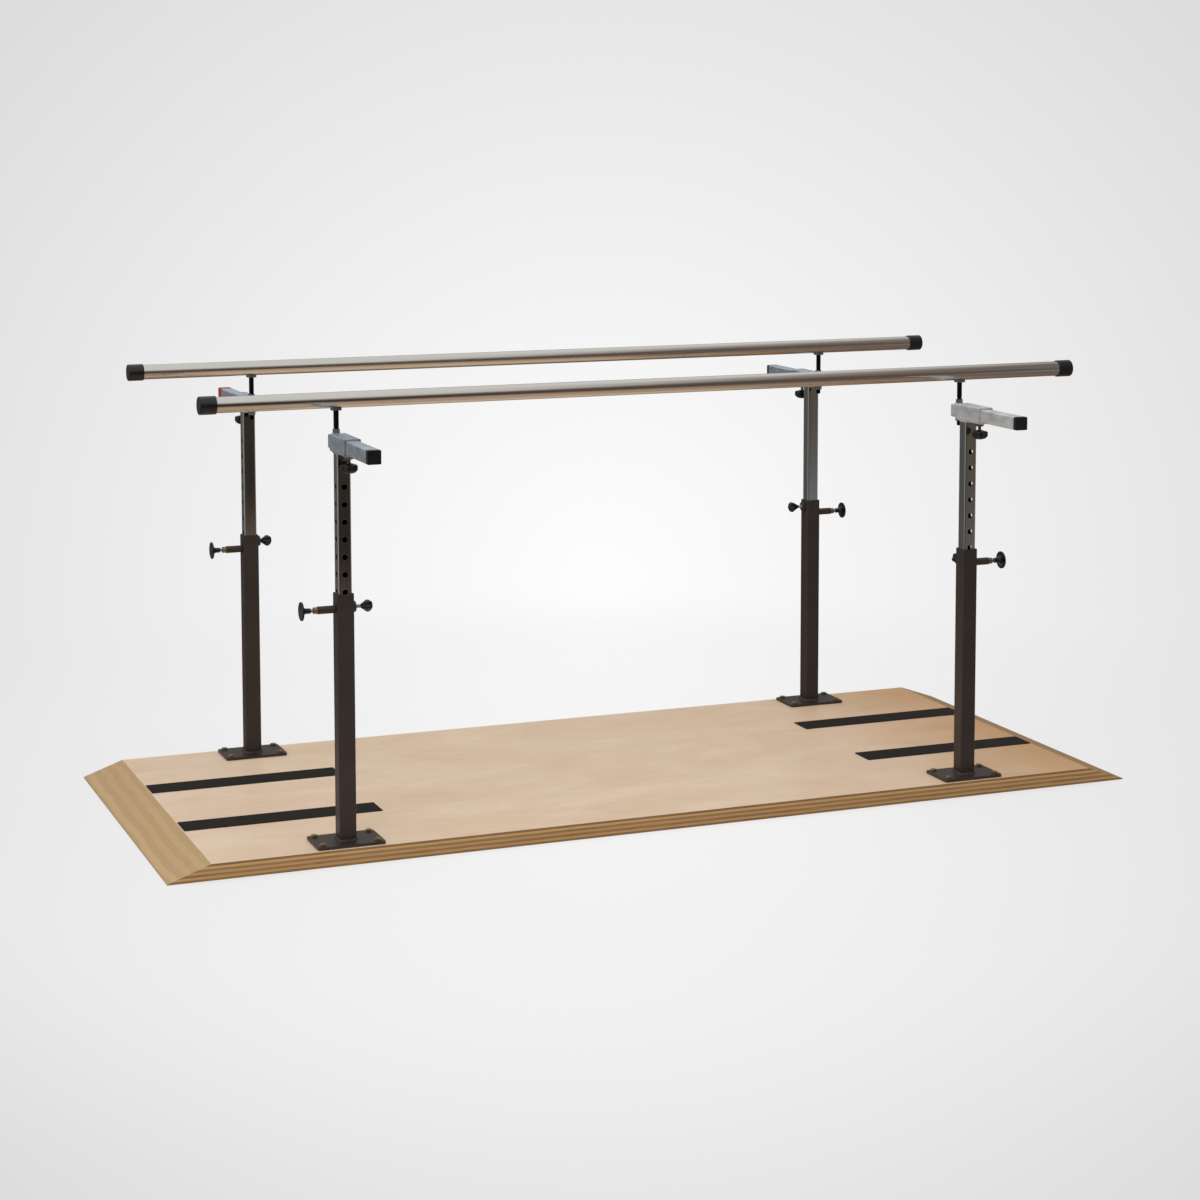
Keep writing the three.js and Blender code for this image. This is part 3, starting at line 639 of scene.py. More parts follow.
@functools.cache
def birch_face():
    """Lacquered rotary-cut birch veneer: pale and clouded, with faint fibres along the board."""
    finish = settings().finish
    material, tree, shader, place = new_finish("Birch face veneer", "birch_plywood", Roughness=0.36, IOR=1.5)
    # Clouds are long where the knife met the growth rings flat, and flecks are the rays between them
    cloud = add_node(tree, "Mapping", {"Vector": place, "Scale": waves(500, 250, 250)})
    broad = add_node(tree, "TexNoise", {"Vector": cloud, "Scale": 1.0, "Detail": 3.0, "Distortion": 1.2})
    fleck = add_node(tree, "Mapping", {"Vector": place, "Scale": waves(83.3, 25, 25)})
    small = add_node(tree, "TexNoise", {"Vector": fleck, "Scale": 1.0, "Detail": 4.0, "Distortion": 0.8})
    # Real fibres are finer, and these are as fine as the render shows
    fibre = add_node(tree, "Mapping", {"Vector": place, "Scale": waves(62.5, 1.613, 1.613)})
    fine = add_node(tree, "TexNoise", {"Vector": fibre, "Scale": 1.0, "Detail": 4.0, "Roughness": 0.6})
    clouded = add_node(tree, "Mix", {"Factor": 0.35, "A": broad, "B": small}, data_type="FLOAT")
    both = add_node(tree, "Mix", {"Factor": 0.2, "A": clouded, "B": fine}, data_type="FLOAT")
    tone = add_node(tree, "ValToRGB", {"Fac": both}, [(0.36, finish.birch_cloud), (0.6, finish.birch)])
    # The sheet turns redder towards its right-hand end, with a soft uneven start
    apart = add_node(tree, "SeparateXYZ", {"Vector": place})
    along = add_node(tree, "Math", {0: broad, 1: 0.5, 2: apart.outputs["X"]}, operation="MULTIPLY_ADD")
    right_end_share = add_node(
        tree, "MapRange", {"Value": along, "From Min": 0.75, "From Max": 1.45, "To Max": 0.92},
        interpolation_type="SMOOTHSTEP")
    warmed = add_node(tree, "Mix", {"Factor": right_end_share, "A": tone, "B": finish.birch_right_end}, data_type="RGBA")
    bump = add_node(tree, "Bump", {"Height": fine, "Strength": 0.08, "Distance": 0.2 * MM})
    set_sockets(shader, {"Base Color": warmed, "Normal": bump})
    return material


def cut_plies(name, light, dark, shift, waver, right_end_share):
    """Birch plywood where a saw has cut its veneers: bands of one ply each, set by their height in the board.

    shift draws the plies' shades anew. waver is how far a band wanders in height, because no veneer is quite
    flat. right_end_share is how far the plies darken towards the right-hand end."""
    material, tree, shader, place = new_finish(
        name, "birch_plywood", Roughness=0.5, IOR=1.5, Specular_IOR_Level=0.1)
    apart = add_node(tree, "SeparateXYZ", {"Vector": place})
    swell = add_node(tree, "TexNoise", {"Vector": place, "Scale": waves(250), "Detail": 4.0})
    lifted = add_node(
        tree, "Math", {0: swell, 1: 2 * waver, 2: apart.outputs["Z"]}, operation="MULTIPLY_ADD")
    height = add_node(tree, "Math", {0: lifted, 1: waver}, operation="SUBTRACT")
    layer = add_node(tree, "Math", {0: height, 1: settings().board.ply}, operation="DIVIDE")
    index = add_node(tree, "Math", {0: layer}, operation="FLOOR")
    chance = add_node(tree, "Math", {0: index, 1: shift}, operation="ADD")
    random_tone = add_node(tree, "TexWhiteNoise", {"W": chance}, noise_dimensions="1D")
    # Every second ply lies across the others and takes the lacquer darker
    odd = add_node(tree, "Math", {0: index, 1: 2.0}, operation="FLOORED_MODULO")
    even = add_node(tree, "Math", {0: 1.0, 1: odd}, operation="SUBTRACT")
    swing = add_node(tree, "Mix", {"Factor": 0.4, "A": even, "B": random_tone}, data_type="FLOAT")
    # Saw and sanding marks run along each ply, drawn as fine as the render shows
    marks = add_node(tree, "Mapping", {"Vector": place, "Scale": waves(62.5, 62.5, 1.613)})
    fibre = add_node(tree, "TexNoise", {"Vector": marks, "Scale": 1.0, "Detail": 4.0})
    level = add_node(tree, "Mix", {"Factor": 0.45, "A": swing, "B": fibre}, data_type="FLOAT")
    tone = add_node(tree, "ValToRGB", {"Fac": level}, [(0.25, light), (0.75, dark)])
    # A thin darker glue line at the foot of each ply
    part = add_node(tree, "Math", {0: layer}, operation="FRACT")
    glue = add_node(tree, "Math", {0: part, 1: 0.1}, operation="LESS_THAN")
    weak = add_node(tree, "Math", {0: glue, 1: 0.3}, operation="MULTIPLY")
    lined = add_node(tree, "Mix", {"Factor": weak, "A": tone, "B": dark}, data_type="RGBA")
    # Darker towards the right-hand end
    along = add_node(
        tree, "MapRange", {"Value": apart.outputs["X"], "From Min": 0.7, "From Max": 1.15, "To Max": right_end_share})
    warmed = add_node(
        tree, "Mix", {"Factor": along, "A": lined, "B": settings().finish.ply_dark}, data_type="RGBA")
    bump = add_node(tree, "Bump", {"Height": fibre, "Strength": 0.15, "Distance": 0.2 * MM})
    set_sockets(shader, {"Base Color": warmed, "Normal": bump})
    return material


@functools.cache
def birch_ramp():
    """Sanded ramp: its shallow cut draws each ply out into a soft broad band."""
    finish = settings().finish
    return cut_plies(
        "Birch plies on the ramps", finish.ramp_light, finish.ramp_dark, shift=3.0, waver=7 * MM, right_end_share=0.55)


@functools.cache
def birch_edge():
    """Sawn and lacquered edge: dark and light plies, browner than the face."""
    finish = settings().finish
    return cut_plies(
        "Birch plies on the edges", finish.ply_light, finish.ply_dark, shift=7.0, waver=0.8 * MM, right_end_share=0.0)


@functools.cache
def grip_tape():
    """Mineral grit on adhesive tape: dull and dark, with painted glints on single grains."""
    finish = settings().finish
    material, tree, shader, place = new_finish(
        "Mineral grit tape", "grip_tape", Roughness=0.85, IOR=1.5, Specular_IOR_Level=0.25)
    # Real grit is 0.3 mm, and it is drawn at 1.1 mm so that it shows
    grain = add_node(tree, "TexVoronoi", {"Vector": place, "Scale": 1 / settings().board.grit})
    wear = add_node(tree, "TexNoise", {"Vector": place, "Scale": waves(71.4), "Detail": 4.0})
    level = add_node(tree, "Mix", {"Factor": 0.4, "A": grain.outputs["Color"], "B": wear}, data_type="RGBA")
    # The lightest stop is a painted glint on single grains
    tone = add_node(tree, "ValToRGB", {"Fac": level}, [
        (0.2, finish.grip_deep), (0.75, finish.grip), (1.0, finish.grip_painted_glint)])
    bump = add_node(tree, "Bump", {"Height": grain, "Strength": 0.5, "Distance": 0.4 * MM})
    set_sockets(shader, {"Base Color": tone, "Normal": bump})
    return material


def coated(name, slot, tone, dark_share, roughness, below, cloud, skin, relief, depth):
    """A coat or a moulding: soft clouds in its colour and gloss, and a fine skin, sized in millimetres."""
    material, tree, shader, place = new_finish(name, slot, Roughness=roughness, IOR=1.5)
    clouds = add_node(tree, "TexNoise", {"Vector": place, "Scale": waves(cloud), "Detail": 3.0})
    fine = add_node(tree, "TexNoise", {"Vector": place, "Scale": waves(skin), "Detail": 2.0})
    shade = add_node(tree, "ValToRGB", {"Fac": clouds}, [(0.35, darker(tone, dark_share)), (0.65, tone)])
    gloss = add_node(
        tree, "MapRange", {"Value": clouds, "To Min": roughness - below, "To Max": roughness + 0.08})
    bump = add_node(tree, "Bump", {"Height": fine, "Strength": relief, "Distance": depth})
    set_sockets(shader, {"Base Color": shade, "Roughness": gloss, "Normal": bump})
    return material


@functools.cache
def powder_coat():
    """Semi-gloss powder coat: warm black, with orange peel and soft shades where it is thicker."""
    return coated(
        "Warm black powder coat", "black_paint", settings().finish.powder, dark_share=0.78, roughness=0.42,
        below=0.06, cloud=111, skin=2.38, relief=0.12, depth=0.15 * MM)


def moulded(name, slot, tone, roughness, skin):
    """Moulded plastic: smooth, with a faint flow in its gloss and a fine skin."""
    return coated(
        name, slot, tone, dark_share=0.75, roughness=roughness, below=0.05, cloud=16.7, skin=skin,
        relief=0.05, depth=0.1 * MM)


@functools.cache
def black_phenolic():
    """Phenolic knobs: hard, black and glossy from a polished mould."""
    return moulded("Black phenolic", "black_plastic", settings().finish.phenolic, roughness=0.2, skin=2)


@functools.cache
def black_polyethylene():
    """Polyethylene caps: black and waxy."""
    return moulded(
        "Black polyethylene", "black_plastic", settings().finish.cap_black, roughness=0.3, skin=1.43)


@functools.cache
def red_polyethylene():
    """The one red cap: dark, waxy polyethylene."""
    return moulded(
        "Dark red polyethylene", "red_plastic", settings().finish.cap_red, roughness=0.32, skin=1.43)


def metal(name, slot, tone, dark_share, rough, streaks, relief=0.03, metallic=1.0, cast=None):
    """A metal with its colour and gloss shaded by streaks, sized in millimetres along X, Y and Z."""
    low, high = rough
    material, tree, shader, place = new_finish(name, slot, Metallic=metallic, Roughness=(low + high) / 2)
    mapping = add_node(tree, "Mapping", {"Vector": place, "Scale": waves(*streaks)})
    streak = add_node(tree, "TexNoise", {"Vector": mapping, "Scale": 1.0, "Detail": 4.0})
    shade = add_node(tree, "ValToRGB", {"Fac": streak}, [(0.3, darker(tone, dark_share)), (0.7, tone)])
    if cast:
        patches = add_node(tree, "TexNoise", {"Vector": place, "Scale": waves(7.69)})
        shade = add_node(tree, "Mix", {"Factor": patches, "A": shade, "B": cast}, data_type="RGBA")
    gloss = add_node(tree, "MapRange", {"Value": streak, "To Min": low, "To Max": high})
    bump = add_node(tree, "Bump", {"Height": streak, "Strength": relief, "Distance": 0.1 * MM})
    set_sockets(shader, {"Base Color": shade, "Roughness": gloss, "Normal": bump})
    return material


@functools.cache
def zinc_plate():
    """Bright zinc plate on drawn tube: bluish and satin, with cloudy patches a finger wide."""
    return metal(
        "Blue passivated zinc plate", "zinc_plate", settings().finish.zinc, dark_share=0.8,
        rough=(0.42, 0.56), streaks=(16.7, 38.5, 16.7))


@functools.cache
def clear_zinc():
    """Another batch of zinc plate, passivated clear: neutral, paler and chalky."""
    return metal(
        "Clear passivated zinc plate", "zinc_plate", settings().finish.clear_zinc, dark_share=0.7,
        rough=(0.5, 0.64), streaks=(22.2, 38.5, 22.2), metallic=0.7)


def zinc_of(upright):
    return clear_zinc() if upright.name == CLEAR_ZINC_AT else zinc_plate()


@functools.cache
def chrome_plate():
    """Chrome plate on square tube: a near mirror, with faint draw lines up the post."""
    return metal(
        "Chrome plate on square tube", "chrome", settings().finish.chrome, dark_share=0.88,
        rough=(0.06, 0.15), streaks=(3.85, 3.85, 333), relief=0.02)


@functools.cache
def bare_bore():
    """Inside of the square tubes, which no plating reaches: dark oiled mill scale."""
    return metal(
        "Mill scale inside a tube", "chrome", settings().finish.oxide, dark_share=0.6, rough=(0.55, 0.7),
        streaks=(16.7, 16.7, 16.7))


@functools.cache
def polished_rail():
    """Polished stainless tube: bright, with fine polishing lines along the rail and hand-worn patches."""
    return metal(
        "Polished stainless tube", "chrome", settings().finish.rail, dark_share=0.92, rough=(0.1, 0.2),
        streaks=(333, 4.17, 4.17), relief=0.02)


@functools.cache
def brass():
    """Turned brass: warm yellow, with fine lathe lines round it."""
    return metal(
        "Turned brass", "black_paint", settings().finish.brass, dark_share=0.8, rough=(0.25, 0.38),
        streaks=(1.11, 16.7, 16.7))


@functools.cache
def yellow_zinc():
    """Yellow passivated zinc plate: brassy, with a pinker cast in patches."""
    finish = settings().finish
    return metal(
        "Yellow passivated zinc plate", "black_paint", finish.yellow_zinc, dark_share=0.7, rough=(0.3, 0.45),
        streaks=(11.1, 11.1, 11.1), cast=finish.yellow_cast)


@functools.cache
def black_oxide():
    """Black oxide on threaded rod: oily, dark and half glossy."""
    return metal(
        "Black oxide on steel", "black_steel", settings().finish.oxide, dark_share=0.7, rough=(0.3, 0.45),
        streaks=(12.5, 12.5, 12.5))


@functools.cache
def bright_steel():
    """Turned and tumbled steel: neutral grey satin."""
    return metal(
        "Bright turned steel", "steel", settings().finish.steel, dark_share=0.8, rough=(0.28, 0.42),
        streaks=(9.1, 9.1, 9.1))


# Operators

class BARS_OT_platform(bpy.types.Operator):
    """Make the plywood board with its two ramps"""
    bl_idname = "bars.platform"
    bl_label = "Platform"

    def execute(self, context):
        sizes = settings().board
        low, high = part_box("platform")
        ramp_foot = low.z + sizes.nose
        shape = bmesh.new()
        side = shape.faces.new([shape.verts.new((x, low.y, z)) for x, z in (
            (low.x, low.z), (high.x, low.z), (high.x, ramp_foot), (high.x - sizes.ramp_run, high.z),
            (low.x + sizes.ramp_run, high.z), (low.x, ramp_foot))])
        swept = bmesh.ops.extrude_face_region(shape, geom=[side])["geom"]
        moved = [part for part in swept if isinstance(part, bmesh.types.BMVert)]
        bmesh.ops.translate(shape, vec=(0, high.y - low.y, 0), verts=moved)
        bmesh.ops.recalc_face_normals(shape, faces=shape.faces)
        eased(shape, sizes.edge, from_angle=math.radians(15))
        for face in shape.faces:
            sloped = abs(face.normal.x) > 0.2 and face.normal.z > 0.5
            face.material_index = 0 if abs(face.normal.z) > 0.98 else 1 if sloped else 2
        make_piece("platform_board", shape, [birch_face(), birch_ramp(), birch_edge()], "platform")
        return {"FINISHED"}


class BARS_OT_grip_strips(bpy.types.Operator):
    """Lay the four grip strips on the board"""
    bl_idname = "bars.grip_strips"
    bl_label = "Grip strips"

    def execute(self, context):
        sizes = settings().board
        for upright in uprights():
            node = upright.node("grip_strip")
            low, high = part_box(node)
            shape = rounded_block(high.x - low.x, high.y - low.y, sizes.strip_corner, low.z, high.z)
            eased(shape, sizes.strip_edge)
            upright.make("grip_tape", shape, axis_of(node), grip_tape(), "grip_strip")
        return {"FINISHED"}


class BARS_OT_base_plates(bpy.types.Operator):
    """Bolt the four base plates down"""
    bl_idname = "bars.base_plates"
    bl_label = "Base plates and bolts"

    def execute(self, context):
        sizes = settings().tube
        for upright in uprights():
            low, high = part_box(upright.node("base_plate"))
            width, depth = high.x - low.x, high.y - low.y
            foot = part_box("platform")[1].z + settings().plunger.gap
            top = foot + sizes.plate_thickness
            plate = eased(rounded_block(width, depth, sizes.plate_corner, foot, top), sizes.plate_edge)
            upright.make("foot_plate", plate, upright.here, powder_coat(), "base_plate")
            heads = []
            for x_sign in (-1, 1):
                for y_sign in (-1, 1):
                    place = Matrix.Translation((
                        x_sign * (width / 2 - sizes.bolt_edge), y_sign * (depth / 2 - sizes.bolt_edge), top))
                    # Each bolt came to a stop at an angle of its own
                    spin = Matrix.Rotation(0.5 * x_sign + 0.8 * y_sign + upright.along, 4, "Z")
                    heads.append(placed(self.bolt(sizes), place @ spin))
            bolts, on_plate = gathered(*heads), upright.here @ up(top)
            upright.make("plate_bolts", bolts, upright.here, yellow_zinc(), "base_plate", stands_for=False)
            bead = weld_bead(upright.side_of("outer_tube"), sizes.outer_corner, sizes.weld, sizes.ripple)
            upright.make("foot_weld", bead, on_plate, powder_coat(), "base_plate", stands_for=False)
        return {"FINISHED"}

    @staticmethod
    def bolt(sizes):
        """A hexagon bolt's head on its washer, standing on height 0."""
        flats, foot = sizes.bolt_flats, sizes.washer_thickness
        top = foot + sizes.bolt_head
        return gathered(
            eased(ring(flats * 0.6, sizes.washer, 0, foot), sizes.washer_edge),
            nut(flats, flats * 0.3, foot, top), rod(flats * 0.5, foot, top - sizes.bolt_dish))


def tension_place(upright):
    """The tension screw's axis as a new Z axis, which runs from the post outwards through the boss."""
    sizes = settings().screw
    below_top = sizes.front_below_top if upright.across < 0 else sizes.back_below_top
    height = upright.heights("outer_tube")[1] - below_top
    towards = math.pi / 2 if upright.name == LANE_SCREW_AT else 0 if upright.along < 0 else math.pi
    return upright.here @ up(height) @ Matrix.Rotation(towards, 4, "Z") @ ALONG_X


def pin_place(upright):
    """The locking pin's axis as a new Z axis, which runs from the post outboard along the rails."""
    return upright.outboard_along @ up(upright.middle("plunger_housing")) @ ALONG_X


class BARS_OT_outer_tubes(bpy.types.Operator):
    """Stand the four outer tubes up, with the bosses of the tension screws"""
    bl_idname = "bars.outer_tubes"
    bl_label = "Outer tubes"

    def execute(self, context):
        sizes, screws, plunger = settings().tube, settings().screw, settings().plunger
        bore = screws.screw + 2 * plunger.gap
        for upright in uprights():
            side, screw_axis = upright.side_of("outer_tube"), tension_place(upright)
            tube = square_tube(side, sizes.outer_wall, sizes.outer_corner, *upright.heights("outer_tube"))
            pin_hole = placed(rod(plunger.pin + 2 * plunger.gap, side / 4, side), pin_place(upright))
            holes = gathered(pin_hole, placed(rod(bore, side / 4, side), screw_axis))
            tube = eased(bored(placed(tube, upright.here), holes), sizes.rim)
            boss = ring(bore, screws.boss, side / 2, side / 2 + screws.boss_length)
            both = gathered(tube, placed(eased(boss, screws.boss_edge, 3), screw_axis))
            upright.make("tube", both, Matrix(), powder_coat(), "outer_tube")
        return {"FINISHED"}


class BARS_OT_plungers(bpy.types.Operator):
    """Fit the four spring plungers with their pull knobs"""
    bl_idname = "bars.plungers"
    bl_label = "Plungers"

    def execute(self, context):
        sizes = settings().plunger
        for upright in uprights():
            place, (start, end) = pin_place(upright), upright.reach_along("plunger_housing")
            housing_end = end - sizes.collar_length
            bore_end = housing_end - sizes.end_wall
            bore, outside, rod_hole = sizes.bore / 2, sizes.housing / 2, sizes.rod / 2 + sizes.gap
            housing = turned([
                (bore, start), (outside, start), (outside, housing_end), (rod_hole, housing_end),
                (rod_hole, bore_end), (bore, bore_end)], closed=True)
            eased(housing, sizes.housing_edge, 3)
            upright.make("plunger_barrel", housing, place, powder_coat(), "plunger_housing")
            collar = eased(ring(2 * rod_hole, sizes.collar, housing_end, end), sizes.collar_edge, 3)
            upright.make("plunger_collar", collar, place, brass(), "plunger_housing", stands_for=False)
            flange_end = start + sizes.gap + sizes.travel + sizes.flange_length
            self.pin(upright, place, flange_end)
            spring = coiled(sizes.wire, sizes.coil, sizes.coils, flange_end + sizes.gap, bore_end - sizes.gap)
            upright.make("spring", spring, place, bright_steel(), "plunger_spring")
        return {"FINISHED"}

    @staticmethod
    def pin(upright, place, flange_end):
        """The locking pin with its flange and rod, and the trumpet knob at its end."""
        sizes = settings().plunger
        tip, crown = upright.reach_along("pull_pin")
        rim_end = crown - sizes.crown
        flare_start = rim_end - sizes.knob_rim - sizes.flare
        flange_start = flange_end - sizes.flange_length
        pin, flange, thin = sizes.pin / 2, sizes.flange / 2, sizes.rod / 2
        stem = turned([
            (0, tip), (pin, tip), (pin, flange_start), (flange, flange_start), (flange, flange_end),
            (thin, flange_end), (thin, flare_start), (0, flare_start)])
        eased(stem, sizes.pin_edge)
        upright.make("locking_pin", stem, place, bright_steel(), "pull_pin", stands_for=False)
        neck, disc, neck_start = sizes.neck / 2, sizes.disc / 2, flare_start - sizes.neck_length
        flare = [
            (neck + (disc - neck) * (1 - math.cos(turn)), flare_start + sizes.flare * math.sin(turn))
            for turn in quarter_turn(10)]
        dome = [(disc * math.cos(turn), rim_end + sizes.crown * math.sin(turn)) for turn in quarter_turn(8)]
        knob = turned([(0, neck_start), (neck, neck_start), *flare, *dome], 72)
        eased(knob, sizes.knob_edge, 3, math.radians(40))
        upright.make("pull_knob", knob, place, black_phenolic(), "pull_pin")


class BARS_OT_tension_knobs(bpy.types.Operator):
    """Screw the four tension knobs in"""
    bl_idname = "bars.tension_knobs"
    bl_label = "Tension knobs"

    def execute(self, context):
        sizes = settings().screw
        for upright in uprights():
            place = tension_place(upright)
            reach = upright.reach_across if upright.name == LANE_SCREW_AT else upright.reach_along
            near, far = (abs(distance) for distance in reversed(reach("tension_knob")))
            start = far - sizes.tension_crown - sizes.tension_grip - sizes.tension_cone
            knob = hand_knob(
                sizes.tension_hub, sizes.tension_across, sizes.tension_cone, sizes.tension_grip,
                sizes.tension_crown, sizes.tension_depth)
            upright.make("tension_grip", knob, place @ up(start), black_phenolic(), "tension_knob")
            screw = threaded(sizes.screw, sizes.thread, near, start + sizes.tension_cone / 2)
            upright.make("tension_screw", screw, place, zinc_plate(), "tension_knob", stands_for=False)
        return {"FINISHED"}


class BARS_OT_posts(bpy.types.Operator):
    """Drill the four posts and slide them into the outer tubes"""
    bl_idname = "bars.posts"
    bl_label = "Posts"

    def execute(self, context):
        sizes = settings().tube
        for upright in uprights():
            side = upright.side_of("post")
            tube = square_tube(side, sizes.inner_wall, sizes.inner_corner, *upright.heights("post"))
            drills = []
            for step in range(-sizes.holes_below, sizes.holes_above + 1):
                height = up(upright.middle("plunger_housing") + step * sizes.pitch)
                ways = [facing(upright.along) @ height @ ALONG_X]
                if step >= -sizes.spare_below:
                    ways.append(facing(upright.across) @ height @ ALONG_Y)
                drills += [placed(rod(sizes.hole, side / 4, side), way) for way in ways]
            tube = eased(bored(tube, gathered(*drills)), sizes.rim)
            inside = side / 2 - sizes.inner_wall + sizes.rim / 2
            for face in tube.faces:
                middle = face.calc_center_median()
                face.material_index = int(max(abs(middle.x), abs(middle.y)) < inside)
            placed(tube, upright.here)
            finishes = [chrome_plate(), bare_bore()]
            make_piece(upright.node("drilled_post"), tube, finishes, upright.node("post"))
        return {"FINISHED"}


class BARS_OT_sleeves(bpy.types.Operator):
    """Weld the four sleeves across the posts, with the nuts of the width screws"""
    bl_idname = "bars.sleeves"
    bl_label = "Sleeves"

    def execute(self, context):
        sizes, screws = settings().tube, settings().screw
        bore = screws.screw + 2 * settings().plunger.gap
        from_post = Matrix.Translation((0, screws.width_from_post, 0))
        for upright in uprights():
            low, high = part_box(upright.node("sleeve"))
            side = high.x - low.x
            height = high.z - side / 2
            place = upright.outboard_across @ up(height)
            tube = square_tube(side, sizes.outer_wall, sizes.outer_corner, *upright.reach_across("sleeve"))
            hole = placed(rod(bore, -side, -side / 4), from_post)
            tube = eased(bored(placed(tube, ALONG_Y), hole), sizes.rim)
            upright.make("sleeve_tube", tube, place, zinc_of(upright), "sleeve")
            weld_nut = nut(screws.nut_flats, bore, -side / 2 - screws.nut_height, -side / 2)
            upright.make("weld_nut", weld_nut, place @ from_post, yellow_zinc(), "sleeve", stands_for=False)
            bead = weld_bead(upright.side_of("post"), sizes.inner_corner, sizes.head_weld, sizes.ripple)
            below = upright.here @ up(height - side / 2) @ UPSIDE_DOWN
            upright.make("head_weld", bead, below, zinc_of(upright), "sleeve", stands_for=False)
        return {"FINISHED"}


class BARS_OT_arms(bpy.types.Operator):
    """Slide the four arms through the sleeves and cap them"""
    bl_idname = "bars.arms"
    bl_label = "Arms and caps"

    def execute(self, context):
        sizes, rail, gap = settings().tube, settings().rail, settings().plunger.gap
        for upright in uprights():
            low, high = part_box(upright.node("arm"))
            side = high.x - low.x
            place = upright.outboard_across @ up(upright.middle("arm")) @ ALONG_Y
            start, end = upright.reach_across("arm")
            tube = eased(square_tube(side, sizes.inner_wall, sizes.inner_corner, start, end), sizes.rim)
            upright.make("arm_tube", tube, place, zinc_of(upright), "arm")
            inner, outer = upright.reach_across("arm_cap")
            head = rounded_block(side, side, rail.arm_cap_corner, end + gap, outer)
            eased(head, rail.arm_cap_edge, 4)
            bore = side - 2 * sizes.inner_wall - 2 * gap
            insert = rounded_block(bore, bore, rail.insert_corner, inner, (end + outer) / 2)
            finish = red_polyethylene() if upright.name == RED_CAP_AT else black_polyethylene()
            upright.make("end_cap", gathered(head, insert), place, finish, "arm_cap")
        return {"FINISHED"}


class BARS_OT_width_knobs(bpy.types.Operator):
    """Screw the four width knobs up into the sleeves"""
    bl_idname = "bars.width_knobs"
    bl_label = "Width knobs"

    def execute(self, context):
        sizes = settings().screw
        from_post = Matrix.Translation((0, sizes.width_from_post, 0))
        for upright in uprights():
            low, high = upright.heights("width_knob")
            place = upright.outboard_across @ from_post @ UPSIDE_DOWN
            start = -low - sizes.width_crown - sizes.width_grip - sizes.width_cone
            knob = hand_knob(
                sizes.width_hub, sizes.width_across, sizes.width_cone, sizes.width_grip, sizes.width_crown,
                sizes.width_depth)
            upright.make("width_grip", knob, place @ up(start), black_phenolic(), "width_knob")
            screw = threaded(sizes.screw, sizes.thread, -high, start + sizes.width_cone)
            upright.make("width_screw", screw, place, bright_steel(), "width_knob", stands_for=False)
        return {"FINISHED"}


class BARS_OT_rail_studs(bpy.types.Operator):
    """Bolt the four rail studs through the arms"""
    bl_idname = "bars.rail_studs"
    bl_label = "Rail studs"

    def execute(self, context):
        sizes, gap = settings().rail, settings().plunger.gap
        for upright in uprights():
            rail_low, rail_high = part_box(f"{upright.name.split('_')[0]}_rail")
            radius, middle = (rail_high.z - rail_low.z) / 2, (rail_high.z + rail_low.z) / 2
            cup, length = radius + gap, sizes.saddle_length
            blank = rounded_block(
                length, sizes.saddle_width, sizes.saddle_corner, middle - cup - sizes.saddle_thickness,
                middle - math.sqrt(cup ** 2 - (sizes.saddle_width / 2) ** 2))
            cutter = placed(rod(2 * cup, -length, length, 128), up(middle) @ ALONG_X)
            saddle = eased(bored(blank, cutter), sizes.edge)
            arm_low, arm_high = upright.heights("arm")
            foot, under = arm_high + gap, arm_low - gap
            rim_top, flange_top = foot + sizes.flare_rim, foot + sizes.flare_height * 0.35
            bore, foot_radius = sizes.stud / 2, sizes.flare_foot / 2
            flange = turned([
                (bore, foot), (foot_radius, foot), (foot_radius, rim_top), (sizes.flare_top / 2, flange_top),
                (bore, flange_top)], closed=True)
            fittings = gathered(
                saddle, eased(flange, sizes.edge),
                nut(sizes.flare_top, sizes.stud, rim_top, foot + sizes.flare_height),
                nut(sizes.nut_flats, sizes.stud, under - sizes.nut_height, under))
            axis = axis_of(upright.node("rail_stud"))
            upright.make("saddle", fittings, axis, bright_steel(), "rail_stud")
            low = upright.heights("rail_stud")[0]
            stud = gathered(
                threaded(sizes.stud, sizes.stud_thread, low, foot + sizes.flare_height * 1.5),
                rod(sizes.stud * 0.97, foot + sizes.flare_height * 1.4, middle - radius - sizes.stud_gap, 48))
            upright.make("stud_rod", stud, axis, black_oxide(), "rail_stud", stands_for=False)
        return {"FINISHED"}


class BARS_OT_rails(bpy.types.Operator):
    """Lay the two rails on their saddles and cap their ends"""
    bl_idname = "bars.rails"
    bl_label = "Rails and caps"

    def execute(self, context):
        sizes, gap = settings().rail, settings().plunger.gap
        bevel = sizes.cap_bevel
        for side in SIDES:
            low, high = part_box(f"{side}_rail")
            diameter = high.z - low.z
            axis = Matrix.Translation((0, (low.y + high.y) / 2, (low.z + high.z) / 2))
            tube = eased(ring(diameter - 2 * sizes.wall, diameter, low.x, high.x, 96), sizes.rim)
            make_piece(f"{side}_rail_tube", placed(tube, axis @ ALONG_X), [polished_rail()], f"{side}_rail")
            for end, sign in ENDS.items():
                node = f"{side}_{end}_rail_cap"
                cap_low, cap_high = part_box(node)
                mouth, closed = sorted(abs(x) for x in (cap_low.x, cap_high.x))
                outer, inner = (cap_high.z - cap_low.z) / 2, diameter / 2 + gap
                floor = closed - sizes.cap_wall
                corner = [
                    (outer - bevel * (1 - math.cos(turn)), closed - bevel * (1 - math.sin(turn)))
                    for turn in quarter_turn(8)]
                cap = turned([
                    (0, floor), (inner, floor), (inner, mouth), (outer - sizes.cap_lip, mouth),
                    (outer, mouth + sizes.cap_lip), *corner, (0, closed)], 96)
                placed(cap, axis @ facing(sign) @ ALONG_X)
                make_piece(f"{side}_{end}_end_cap", cap, [black_polyethylene()], node)
        return {"FINISHED"}


